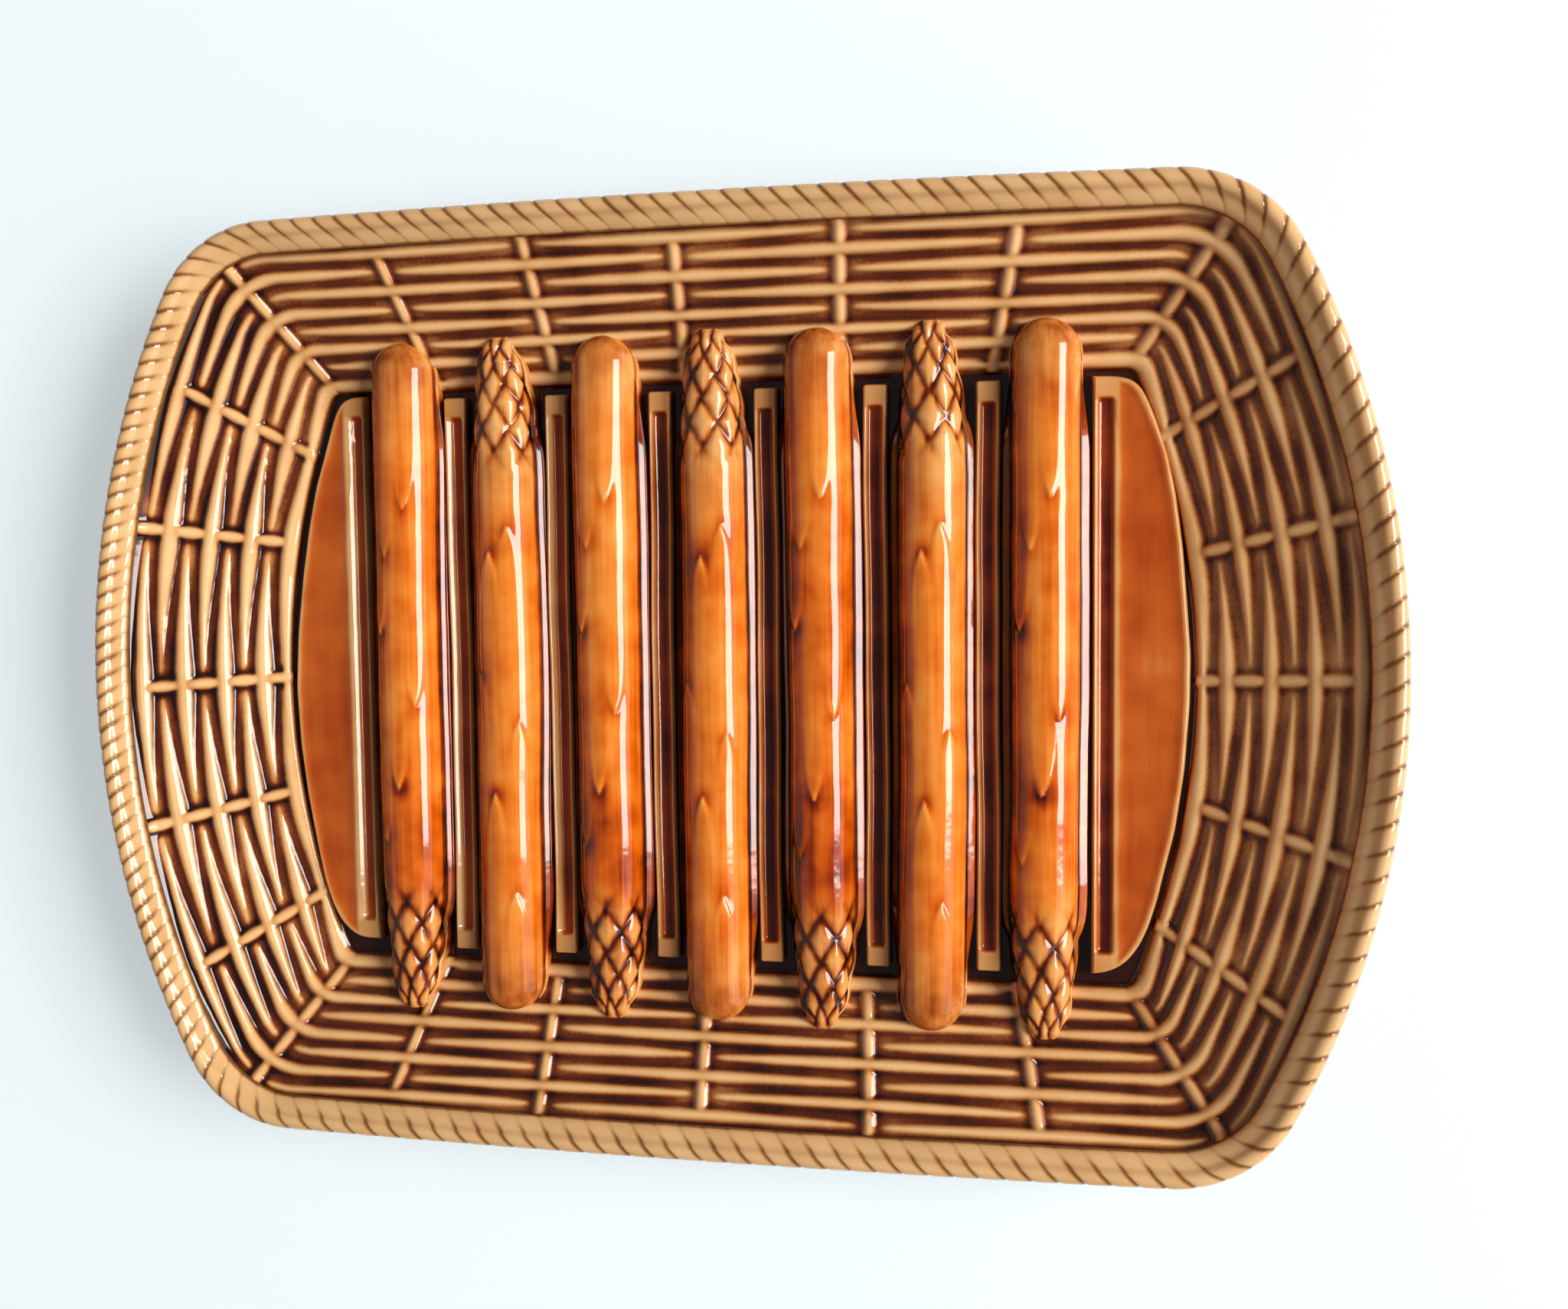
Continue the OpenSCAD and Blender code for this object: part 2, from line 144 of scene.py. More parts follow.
def run_lengths(points: np.ndarray) -> np.ndarray:
    """Returns the distance along a chain of points up to each one."""
    return np.concatenate([[0.0], np.cumsum(np.linalg.norm(np.diff(points, axis=0), axis=1))])


def grid_normals(points: np.ndarray, wrap: tuple[bool, bool]) -> np.ndarray:
    """Normals of a grid of points.

    Args:
        points: Grid of points, rows by columns by three.
        wrap: Whether the rows and the columns close on themselves.

    Returns:
        Unit normals, which point to the left of the rows as the columns run ahead.
    """
    slopes = []
    for axis in (0, 1):
        if wrap[axis]:
            slopes.append(np.roll(points, -1, axis) - np.roll(points, 1, axis))
        else:
            slopes.append(np.gradient(points, axis=axis))
    normal = np.cross(slopes[0], slopes[1])
    return normal / np.maximum(np.linalg.norm(normal, axis=2, keepdims=True), TINY)


def linear(hex_colour: str) -> tuple[float, float, float, float]:
    """Turns an sRGB hex colour to linear light.

    Args:
        hex_colour: Six hex digits, after a hash.

    Returns:
        Red, green, blue and an alpha of 1.
    """
    parts = [int(hex_colour[i : i + 2], 16) / 255 for i in (1, 3, 5)]
    light = [c / 12.92 if c <= 0.04045 else ((c + 0.055) / 1.055) ** 2.4 for c in parts]
    return (light[0], light[1], light[2], 1.0)


# Outlines


@dataclass(frozen=True)
class Barrel:
    """Oblong outline with swelling ends and nearly straight sides, symmetric both ways."""

    half_l: float
    half_w: float
    end_bow: float
    side_bow: float
    corner_r: float

    def inset(self, by: float) -> "Barrel":
        """Returns the outline that lies a distance inside this one."""
        less = {name: getattr(self, name) - by for name in ("half_l", "half_w", "corner_r")}
        return replace(self, **less)

    def mixed(self, other: "Barrel", share: float) -> "Barrel":
        """Returns the outline at a share of the way to another one."""
        pairs = zip(astuple(self), astuple(other))
        return Barrel(*(mix(mine, theirs, share) for mine, theirs in pairs))

    def loop(self, steps: int = 90) -> np.ndarray:
        """Points of the outline.

        Args:
            steps: Steps in each arc of a quarter of the outline.

        Returns:
            Closed loop of points, anticlockwise from the middle of the right end.
        """
        side_r = (self.half_l**2 + self.side_bow**2) / (2 * self.side_bow)
        end_r = (self.half_w**2 + self.end_bow**2) / (2 * self.end_bow)
        side_y, end_x = self.half_w - side_r, self.half_l - end_r
        side_reach, end_reach = side_r - self.corner_r, end_r - self.corner_r
        span = math.hypot(end_x, side_y)
        along = (side_reach**2 - end_reach**2 + span**2) / (2 * span)
        across = math.sqrt(side_reach**2 - along**2)
        way = (end_x / span, -side_y / span)
        centre = (along * way[0] + across * way[1], side_y + along * way[1] - across * way[0])
        end_turn = math.atan2(centre[1], centre[0] - end_x)
        side_turn = math.atan2(centre[1] - side_y, centre[0])
        arcs = (
            ((end_x, 0.0), end_r, 0.0, end_turn),
            (centre, self.corner_r, end_turn, side_turn),
            ((0.0, side_y), side_r, side_turn, math.pi / 2),
        )
        quarter = []
        for (x, y), radius, first, last in arcs:
            turn = np.linspace(first, last, steps, endpoint=False)
            quarter.append(np.stack([x + radius * np.cos(turn), y + radius * np.sin(turn)], 1))
        part = np.concatenate(quarter + [np.array([[0.0, self.half_w]])])
        back = part[-2:0:-1]
        return np.concatenate(
            [part, back * (-1, 1), part[:-1] * (-1, -1), np.array([[0.0, -self.half_w]]),
             back * (1, -1), part[:1]]
        )


@dataclass(frozen=True)
class Track:
    """Closed loop that can be read at a run along it."""

    points: np.ndarray
    runs: np.ndarray
    turns: np.ndarray

    @classmethod
    def along(cls, outline: Barrel) -> "Track":
        """Measures the way round an outline.

        Args:
            outline: The outline.

        Returns:
            The track, with the run and the polar angle of each of its points.
        """
        points = outline.loop()
        turns = np.unwrap(np.arctan2(points[:, 1], points[:, 0]))
        return cls(points, run_lengths(points), turns)

    @property
    def length(self) -> float:
        """Length of the loop."""
        return float(self.runs[-1])

    def at(self, run: np.ndarray) -> np.ndarray:
        """Returns the points at these runs, anticlockwise from the right end."""
        place = np.mod(run, self.length)
        return np.stack([np.interp(place, self.runs, self.points[:, i]) for i in (0, 1)], -1)

    def run_at_turn(self, turn: np.ndarray) -> np.ndarray:
        """Returns the runs at these polar angles."""
        return np.interp(np.mod(turn, 2 * math.pi), self.turns, self.runs)


# Finishes


def add_node(
    tree: bpy.types.NodeTree, kind: str, links: dict | None = None, **settings: object
) -> bpy.types.Node:
    """Adds a node to a tree.

    Args:
        tree: The material's or world's tree.
        kind: Blender's name of the node type.
        links: What goes into each input: an output socket, or a plain value.
        settings: The node's own properties.

    Returns:
        The new node.
    """
    node = tree.nodes.new(kind)
    for name, value in settings.items():
        setattr(node, name, value)
    for name, value in (links or {}).items():
        socket = node.inputs[name]
        if isinstance(value, bpy.types.NodeSocket):
            tree.links.new(value, socket)
        else:
            socket.default_value = value
    return node


class Slot(Enum):
    """Names of the material slots."""

    BODY = "brown_glazed_body"
    ROPE = "honey_glazed_rope"
    WEAVE = "honey_glazed_weave"
    LANDS = "brown_glazed_lands"
    SPEARS = "amber_glazed_spears"
    SCALES = "honey_glazed_scales"


@dataclass(frozen=True)
class Glaze:
    """Transparent brown lead-type glaze, dipped and poured over buff earthenware.

    It runs off the ridges, where the pale clay shows through as honey, and pools in the hollows,
    where it turns to chestnut and nearly to black. Each mesh carries the depth of its glaze in
    the attribute pool, from 0 on a ridge to 1 in a hollow. On the spears and the lands the same
    attribute also carries painted shade, on the sides that face away from the light.
    """

    name: str
    # Colour at each depth of glaze
    stops: tuple[tuple[float, str], ...]
    # The same where the mesh's attribute tone is 1: a paler firing of the glaze
    pale_stops: tuple[tuple[float, str], ...] = ()
    # Size of the cloudy patches, in millimetres, and how far they change the depth
    patch_mm: float = 14.0
    patch_depth: float = 0.16
    # Width of the fine streaks, in millimetres, their length and how far they change the depth
    streak_mm: float = 1.2
    streak_long_mm: float = 30.0
    streak_depth: float = 0.0
    # Fired gloss glaze is nearly mirror smooth
    roughness: float = 0.07
    # Height of the glaze's faint orange peel, and its width
    peel_mm: float = 0.02
    peel_size_mm: float = 2.5
    # Glaze is a glass: its index is about 1.52
    ior: float = 1.52
    # Finer layers of the noise in patches, streaks and peel, and how strong each layer is
    details: tuple[float, float, float] = (2.0, 3.0, 1.0)
    layer_share: float = 0.55

    def noise(
        self, tree: bpy.types.NodeTree, place: bpy.types.NodeSocket, size: tuple[float, float],
        detail: float,
    ) -> bpy.types.NodeSocket:
        """Noise with patches of a real size.

        Args:
            tree: The material's tree.
            place: Object coordinates, in metres.
            size: Width and length of a patch in millimetres, the length along Y.
            detail: How many finer layers it has.

        Returns:
            The noise, from 0 to 1.
        """
        scale = tuple(1 / (part * MM) for part in (size[0], size[1], size[0]))
        spot = add_node(tree, "ShaderNodeMapping", {"Vector": place, "Scale": scale})
        layers = {"Scale": 1.0, "Detail": detail, "Roughness": self.layer_share}
        noise = add_node(tree, "ShaderNodeTexNoise", {"Vector": spot.outputs[0], **layers})
        return noise.outputs["Fac"]

    @staticmethod
    def ramp(
        tree: bpy.types.NodeTree, depth: bpy.types.NodeSocket, stops: tuple[tuple[float, str], ...]
    ) -> bpy.types.NodeSocket:
        """Colours of the glaze by its depth.

        Args:
            tree: The material's tree.
            depth: Depth of the glaze, from 0 to 1.
            stops: Colour at each depth.

        Returns:
            The colour.
        """
        node = add_node(tree, "ShaderNodeValToRGB", {"Fac": depth})
        spots = node.color_ramp.elements
        while len(spots) < len(stops):
            spots.new(stops[0][0])
        for spot, (share, _) in zip(spots, stops):
            spot.position = share
        for spot, (_, colour) in zip(spots, stops):
            spot.color = linear(colour)
        return node.outputs["Color"]

    def material(self) -> bpy.types.Material:
        """Makes the material.

        Returns:
            The glaze, with its depth, patches, streaks, peel and gloss.
        """
        made = bpy.data.materials.new(self.name)
        made.use_nodes = True
        tree = made.node_tree
        tree.nodes.clear()
        place = add_node(tree, "ShaderNodeTexCoord").outputs["Object"]
        depth = add_node(tree, "ShaderNodeAttribute", attribute_name="pool").outputs["Fac"]
        patch, streak, fine = self.details
        layers = [((self.patch_mm, self.patch_mm), patch, self.patch_depth)]
        if self.streak_depth:
            layers.append(((self.streak_mm, self.streak_long_mm), streak, self.streak_depth))
        for size, detail, strength in layers:
            # The noise lies round its middle of 0.5, and so changes the depth both ways
            cloud = {0: self.noise(tree, place, size, detail), 1: -0.5}
            change = add_node(tree, "ShaderNodeMath", cloud, operation="ADD").outputs[0]
            deeper = {0: change, 1: 2 * strength, 2: depth}
            depth = add_node(tree, "ShaderNodeMath", deeper, operation="MULTIPLY_ADD").outputs[0]
        colour = self.ramp(tree, depth, self.stops)
        if self.pale_stops:
            tone = add_node(tree, "ShaderNodeAttribute", attribute_name="tone").outputs["Fac"]
            pale = self.ramp(tree, depth, self.pale_stops)
            colour = add_node(
                tree, "ShaderNodeMixRGB", {"Fac": tone, "Color1": colour, "Color2": pale}
            ).outputs[0]
        peel = self.noise(tree, place, (self.peel_size_mm, self.peel_size_mm), fine)
        skin = {"Height": peel, "Distance": self.peel_mm * MM, "Strength": 1.0}
        normal = add_node(tree, "ShaderNodeBump", skin).outputs[0]
        gloss = {"Roughness": self.roughness, "IOR": self.ior}
        shader = add_node(
            tree, "ShaderNodeBsdfPrincipled", {"Base Color": colour, "Normal": normal, **gloss}
        )
        add_node(tree, "ShaderNodeOutputMaterial", {"Surface": shader.outputs[0]})
        return made


# Thin and honey-pale on the crest of each withy, nearly black in the gaps between them
WEAVE_GLAZE = Glaze(
    "honey_glaze_on_weave",
    ((0.0, "#F5C489"), (0.26, "#DEA668"), (0.46, "#AE6C37"), (0.64, "#682C10"), (0.84, "#300F08"),
     (1.0, "#150502")),
    patch_mm=22.0, patch_depth=0.28, streak_mm=1.0, streak_long_mm=1.0, streak_depth=0.08,
)
# Thin all over the rope, so that it looks pale, with brown lines in its grooves
ROPE_GLAZE = Glaze(
    "honey_glaze_on_rope",
    ((0.0, "#EFC28C"), (0.3, "#DBAB72"), (0.6, "#9A6837"), (1.0, "#3E1B0C")),
    patch_mm=16.0, patch_depth=0.22, streak_mm=1.0, streak_long_mm=1.0, streak_depth=0.08,
)
# Pale on the sharp ridges, orange-brown on the flats and dark in the moats
LAND_GLAZE = Glaze(
    "brown_glaze_on_lands",
    ((0.0, "#EAB577"), (0.22, "#D59554"), (0.36, "#CB6420"), (0.55, "#AC430A"), (0.76, "#4E1405"),
     (1.0, "#160502")),
    patch_mm=20.0, patch_depth=0.26, streak_mm=2.5, streak_long_mm=40.0, streak_depth=0.08,
)
# Glossy amber that runs in long streaks down the stalks, and fires paler on the heads
SPEAR_GLAZE = Glaze(
    "amber_glaze_on_spears",
    ((0.0, "#F8A852"), (0.28, "#EA8228"), (0.48, "#D25C08"), (0.66, "#963003"), (0.84, "#4A1102"),
     (1.0, "#190401")),
    ((0.0, "#F2B877"), (0.28, "#DE954B"), (0.48, "#B66627"), (0.66, "#752C0C"), (0.84, "#361006"),
     (1.0, "#160402")),
    patch_mm=12.0, patch_depth=0.30, streak_mm=2.2, streak_long_mm=60.0, streak_depth=0.26,
)
SCALE_GLAZE = replace(SPEAR_GLAZE, name="honey_glaze_on_scales")
# Thick brown glaze on the plain floor and underside
BODY_GLAZE = Glaze(
    "brown_glaze_on_body",
    ((0.0, "#C98F52"), (0.3, "#A8662F"), (0.55, "#7A3C18"), (0.8, "#35120A"), (1.0, "#0E0403")),
    patch_mm=40.0, patch_depth=0.12,
)


# Mesh pieces


@dataclass
class Skin:
    """Closed skin over a list of rings of points, in millimetres."""

    # Rings by points by three, each ring a closed loop, and the depth of glaze at each point,
    # which on the spears and lands also holds painted shade
    rings: np.ndarray
    pool: np.ndarray
    # How many points of a ring lie on the visible side, while the rest close the back
    front: int
    # Whether the last ring joins the first, instead of a cap at both ends
    round_trip: bool = False
    # Normals of the front points, or None where they follow the rings
    normals: np.ndarray | None = None
    # Whether the front closes on itself round the ring
    shut: bool = False
    # How pale the glaze fired at each point
    tone: np.ndarray | float = 0.0

    def parts(self, offset: int) -> tuple[np.ndarray, list, np.ndarray, np.ndarray]:
        """Works out points and faces.

        Args:
            offset: Number of points that come before these ones.

        Returns:
            Points, faces, whether each face is smooth, and the normal at each face corner.
        """
        count, sides = self.rings.shape[:2]
        normals = np.zeros_like(self.rings)
        wrap = (self.round_trip, self.shut)
        if self.normals is None:
            normals[:, : self.front] = grid_normals(self.rings[:, : self.front], wrap)
        else:
            normals[:, : self.front] = self.normals
        here = np.arange(count if self.round_trip else count - 1)[:, None] * sides
        step = ((np.arange(len(here)) + 1) % count)[:, None] * sides
        side = np.arange(sides)[None, :]
        ahead = (side + 1) % sides
        quads = np.stack([here + side, here + ahead, step + ahead, step + side], -1)
        smooth = np.zeros(quads.shape[:2], bool)
        smooth[:, : sides if self.shut else self.front - 1] = True
        quads, smooth = quads.reshape(-1, 4), smooth.reshape(-1)
        points = self.rings.reshape(-1, 3)
        caps = []
        if not self.round_trip:
            caps = [np.arange(sides)[::-1], np.arange(sides) + (count - 1) * sides]
        if self.volume(points, quads, caps) < 0:
            quads, caps = quads[:, ::-1], [cap[::-1] for cap in caps]
        spots = points[quads]
        facing = np.cross(spots[:, 2] - spots[:, 0], spots[:, 3] - spots[:, 1])
        corners = normals.reshape(-1, 3)[quads] * smooth[:, None, None]
        if (corners.sum(1) * facing).sum() < 0:
            corners = -corners
        faces = (quads + offset).tolist() + [(cap + offset).tolist() for cap in caps]
        smooth = np.concatenate([smooth, np.zeros(len(caps), bool)])
        rest = np.zeros((sum(len(cap) for cap in caps), 3))
        return points, faces, smooth, np.concatenate([corners.reshape(-1, 3), rest])

    @staticmethod
    def volume(points: np.ndarray, quads: np.ndarray, caps: list[np.ndarray]) -> float:
        """Signed volume of a closed skin.

        Args:
            points: Its points.
            quads: Its four-sided faces.
            caps: Its end faces.

        Returns:
            The volume, which is below zero where the faces look inwards.
        """
        total = 0.0
        for a, b, c in ((0, 1, 2), (0, 2, 3)):
            spots = points[quads[:, (a, b, c)]]
            total += (np.cross(spots[:, 0], spots[:, 1]) * spots[:, 2]).sum()
        for cap in caps:
            spots = points[cap]
            fan = np.cross(spots[1:-1], spots[2:])
            total += (fan @ spots[0]).sum()
        return float(total)


def closed(
    front: np.ndarray, deep: np.ndarray, pool: np.ndarray
) -> tuple[np.ndarray, np.ndarray]:
    """Closes the rings of a relief behind it.

    Args:
        front: Visible points of each ring.
        deep: Hidden points that close each ring.
        pool: Depth of glaze at the visible points.

    Returns:
        The whole rings, and the depth of glaze at all their points.
    """
    hidden = np.ones(deep.shape[:2])
    return np.concatenate([front, deep], 1), np.concatenate([pool, hidden], 1)


def make_piece(
    name: str, skins: list[Skin], material: bpy.types.Material, nodes: tuple[str, ...]
) -> bpy.types.Object:
    """Makes one piece of one or several skins.

    Args:
        name: The piece's name.
        skins: The closed skins that it has.
        material: The glaze.
        nodes: The CAD nodes that it stands for.

    Returns:
        The new object, which rides on the plate.
    """
    points, faces, smooth, loops, pool, tone = [], [], [], [], [], []
    for skin in skins:
        part = skin.parts(sum(len(p) for p in points))
        points.append(part[0])
        faces += part[1]
        smooth.append(part[2])
        loops.append(part[3])
        pool.append(np.clip(skin.pool, 0, 1).reshape(-1))
        tone.append(np.broadcast_to(skin.tone, skin.pool.shape).reshape(-1))
    mesh = bpy.data.meshes.new(name)
    mesh.from_pydata((np.concatenate(points) * MM).tolist(), [], faces)
    mesh.polygons.foreach_set("use_smooth", np.concatenate(smooth))
    for label, values in (("pool", pool), ("tone", tone)):
        layer = mesh.attributes.new(label, "FLOAT", "POINT")
        layer.data.foreach_set("value", np.concatenate(values).astype(np.float32))
    mesh.normals_split_custom_set(np.concatenate(loops).tolist())
    mesh.materials.append(material)
    made = bpy.data.objects.new(name, mesh)
    bpy.context.scene.collection.objects.link(made)
    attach(made, "root")
    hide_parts(*nodes)
    log.info("%s: %d points, %d faces", name, len(mesh.vertices), len(mesh.polygons))
    return made


# The plate


@dataclass(frozen=True)
class PlateForm:
    """Main sizes of the plate, which its parts share."""

    # Outlines: half length, half width, bow of the ends, bow of the sides, corner radius
    rim: Barrel = Barrel(185.0, 134.0, 36.4, 2.5, 36.6)
    outer_row: Barrel = Barrel(174.1, 123.1, 33.0, 0.5, 22.0)
    inner_row: Barrel = Barrel(136.8, 88.3, 16.9, 0.5, 6.0)
    # Heights of the outermost and innermost row, the well's floor, the underside and the lip
    outer_row_z: float = 26.3
    inner_row_z: float = 10.0
    floor_z: float = 8.0
    under_z: float = 3.0
    lip_z: float = 29.2
    # Distance of the lip's inner edge from the rim, and of the well from the innermost row
    lip_inset: float = 7.05
    well_inset: float = 3.5
    # How far out the woven wall reaches on the long sides, and distance between two spears
    side_run: float = 34.8
    spear_pitch: float = 31.2

    def wall_z(self, y: float) -> float:
        """Returns the height of the woven wall at a distance from the long middle line."""
        share = (abs(y) - self.inner_row.half_w) / self.side_run
        return mix(self.inner_row_z, self.outer_row_z, share)


@dataclass
class WovenWall:
    """Basket wall: eight rows of tapered withies, woven over and under twenty-four stakes."""

    form: PlateForm
    rows: int = 8
    row_gap: float = 5.64
    # Points of the mesh: columns between two stakes, and lines in the lip, a row and the moat
    columns: int = 88
    lip_lines: int = 9
    row_lines: int = 12
    moat_lines: int = 8
    # Skin beyond the rows: its run up to the lip, the bend of its rise there, its run down into
    # the moat, and how far it stands over the clay at both
    lip_run: float = 5.3
    lip_bend: float = 1.25
    lip_over: float = 0.8
    moat_run: float = 4.0
    moat_over: float = 0.55
    # Withies: full and least width, gap at their points, height of crest and point, and the
    # share of their length at which the point sinks away
    withy_w: float = 4.5
    withy_end: float = 0.9
    withy_gap: float = 2.4
    withy_top: float = 1.2
    point_top: float = 0.05
    point_fade: Ramp = Ramp(0.93, 1.03)
    # How much wider the wedge-shaped withies of the ends are
    wedge_more: float = 0.9
    # The innermost row towards the well: its least girth, and how much wider it is
    last_girth: float = 0.8
    last_wider: float = 1.5
    # Most random lean, bend, change of width and change of height of a withy
    lean: float = 0.35
    bend: float = 0.3
    bend_middle: float = 0.3
    uneven_w: float = 0.06
    uneven_top: float = 0.12
    # Section of a withy: spread of its flanks over its half width, and squareness of its crest
    flank_spread: float = 1.22
    crest_power: float = 1.25
    # Stakes: width, height, squareness across and along, and softness of the shoulders
    stake_w: float = 3.9
    stake_top: float = 0.95
    stake_power: float = 2.2
    stake_end_power: int = 6
    stake_shoulder: float = 0.7
    # Half length of a stake where it shows, and how far from the middle of their row stakes and
    # withies are worked out, as shares of row_gap
    stake_end_share: float = 0.93
    stake_reach_share: float = 0.95
    withy_reach_share: float = 0.98
    # Fillets of withies and stakes where they meet the rest
    withy_fillet: float = 0.2
    stake_fillet: float = 0.25
    # Height of the ground between the withies and in the moat, where the moat starts down the
    # wall, depth of the closed back, and how often the relief is averaged
    seat: float = -0.55
    moat_seat: float = -0.5
    moat_start: Ramp = Ramp(41.6, 43.4)
    back: float = 1.6
    soften: tuple = (1, 2)

    # Section of the withies' inner flank at the left end, from the crest to the recess
    left_flank: tuple = ((0, 0.08, 0.68, 0.80, 0.92, 1.0), (1, 0.985, 0.60, 0.38, 0.11, 0))
    # Girth of a withy from its stake to its point, on the sides and at the ends of the plate
    long_taper: tuple = (
        (0, 0.2, 0.45, 0.65, 0.8, 0.9, 1.0), (1, 0.97, 0.84, 0.72, 0.58, 0.42, 0.1))
    wedge_taper: tuple = (
        (0, 0.12, 0.3, 0.5, 0.7, 0.85, 1.0), (1, 0.96, 0.78, 0.52, 0.3, 0.14, 0))

    # Places of the stakes on the outermost and innermost row, as shares of its half sizes
    far_shares: tuple = ((-0.545, -0.29, -0.04, 0.226, 0.5), (-0.62, -0.342, -0.059, 0.27, 0.584))
    right_shares: tuple = (
        (0.694, 0.354, 0.015, -0.362, -0.711), (0.766, 0.394, 0.003, -0.387, -0.783))
    near_shares: tuple = (
        (0.533, 0.263, -0.015, -0.291, -0.556), (0.632, 0.318, -0.027, -0.364, -0.631))
    left_shares: tuple = (
        (-0.702, -0.356, -0.019, 0.37, 0.704), (-0.762, -0.397, -0.002, 0.464, 0.771))
    corner_shares: tuple = ((0.805, 0.97), (0.866, 1.0))

    # Depth of the glaze: on the mean surface, more at the near side, and by height under the mean
    pool_level: float = 0.40
    pool_near: float = 0.05
    pool_slope: float = 0.68
    # How widely the mean is taken, and where the near side and the left end begin
    hollow_blur: tuple = (26, 26)
    near_side: Ramp = Ramp(-95.0, -70.0)
    left_end: Ramp = Ramp(-145.0, -125.0)
    # More of it in the hollows, at the near side more still, and how deep a hollow starts
    hollow_more: float = 0.26
    hollow_near: float = 0.08
    hollow: Ramp = Ramp(0.3, 0.9)
    # The same at the left end, where it is thinner on the whole, and under the lip there
    left_hollow: Ramp = Ramp(-0.05, 0.6, 0.42)
    left_thinner: float = 0.06
    left_lip_more: float = 0.30
    left_lip: Ramp = Ramp(-2.6, 2.0)
    left_lip_hollow: Ramp = Ramp(-0.2, 0.3)
    # More of it beside the rope and in the moat round the well, by distance down the wall
    rope_edge: Ramp = Ramp(1.6, 4.0, 0.35)
    moat_edge: Ramp = Ramp(42.7, 44.2, 0.46)

    @property
    def wedge(self) -> np.ndarray:
        """How wedge-shaped the withies are.

        Returns:
            A share for each stake and the next one clockwise, 0 on the sides and 1 at the ends.
        """
        corner = STAKES // 4
        ends = np.zeros(STAKES)
        for first in (corner, 3 * corner):
            ends[first : first + corner] = 1.0
            ends[[first, first + corner - 1]] = 0.5
        return ends

    @property
    def last_down(self) -> float:
        """Distance of the innermost row down the wall."""
        return (self.rows - 1) * self.row_gap

    def stake_plan(self, inner: int) -> np.ndarray:
        """Places of the stakes.

        Args:
            inner: 0 for the outermost row, 1 for the innermost.

        Returns:
            A point for each stake, clockwise from the far left corner.
        """
        row = (self.form.outer_row, self.form.inner_row)[inner]
        x, y = np.array(self.corner_shares[inner]) * (row.half_l, row.half_w)

        def end(shares: tuple, side: int) -> list:
            """Returns the stakes at an end of the plate."""
            return [((row.half_l - row.end_bow * s * s) * side, row.half_w * s) for s in shares]

        def long_side(shares: tuple, side: int) -> list:
            """Returns the stakes along a side of the plate."""
            return [(row.half_l * s, row.half_w * side) for s in shares]

        return np.array(
            [(-x, y)] + long_side(self.far_shares[inner], 1)
            + [(x, y)] + end(self.right_shares[inner], 1)
            + [(x, -y)] + long_side(self.near_shares[inner], -1)
            + [(-x, -y)] + end(self.left_shares[inner], -1)
        )

    def lines(self) -> list[tuple[Barrel, float, float]]:
        """Lays the lines round the wall, from the lip down to the well.

        Returns:
            Outline, height and distance down the wall of each line.
        """
        form = self.form
        lip = form.rim.inset(form.lip_inset)
        made = []
        for share in np.linspace(1, 0, self.lip_lines, endpoint=False):
            z = mix(form.outer_row_z, form.lip_z + self.lip_over, share**self.lip_bend)
            made.append((form.outer_row.mixed(lip, share), z, -share * self.lip_run))
        count = (self.rows - 1) * self.row_lines
        for share in np.linspace(0, 1, count, endpoint=False):
            z = mix(form.outer_row_z, form.inner_row_z, share)
            made.append((form.outer_row.mixed(form.inner_row, share), z, share * self.last_down))
        inner = form.inner_row.inset(form.well_inset)
        for share in np.linspace(0, 1, self.moat_lines):
            z = mix(form.inner_row_z, form.floor_z + self.moat_over, share)
            down = self.last_down + share * self.moat_run
            made.append((form.inner_row.mixed(inner, share), z, down))
        return made

    def base(self) -> tuple[np.ndarray, np.ndarray, np.ndarray]:
        """Lays the points out on the lines.

        Returns:
            Points by line and column, the run of each point along its line, and the runs of the
            stakes along each line, where some are laid out again before the first and after
            the last.
        """
        outer, inner = self.stake_plan(0), self.stake_plan(1)
        phase = np.arange(STAKES * self.columns) / self.columns
        points, runs, stakes = [], [], []
        for outline, z, down in self.lines():
            track = Track.along(outline)
            plan = mix(outer, inner, down / self.last_down)
            where = track.run_at_turn(np.arctan2(plan[:, 1], plan[:, 0]))
            where = np.unwrap(where, period=track.length)
            before, after = where[-AHEAD:] + track.length, where[: AHEAD + 1] - track.length
            round_trip = np.concatenate([before, where, after])
            run = np.interp(phase, np.arange(-AHEAD, STAKES + AHEAD + 1), round_trip)
            flat = track.at(run)
            points.append(np.column_stack([flat, np.full(len(flat), z)]))
            runs.append(-run)
            stakes.append(-round_trip)
        return np.array(points), np.array(runs), np.array(stakes)

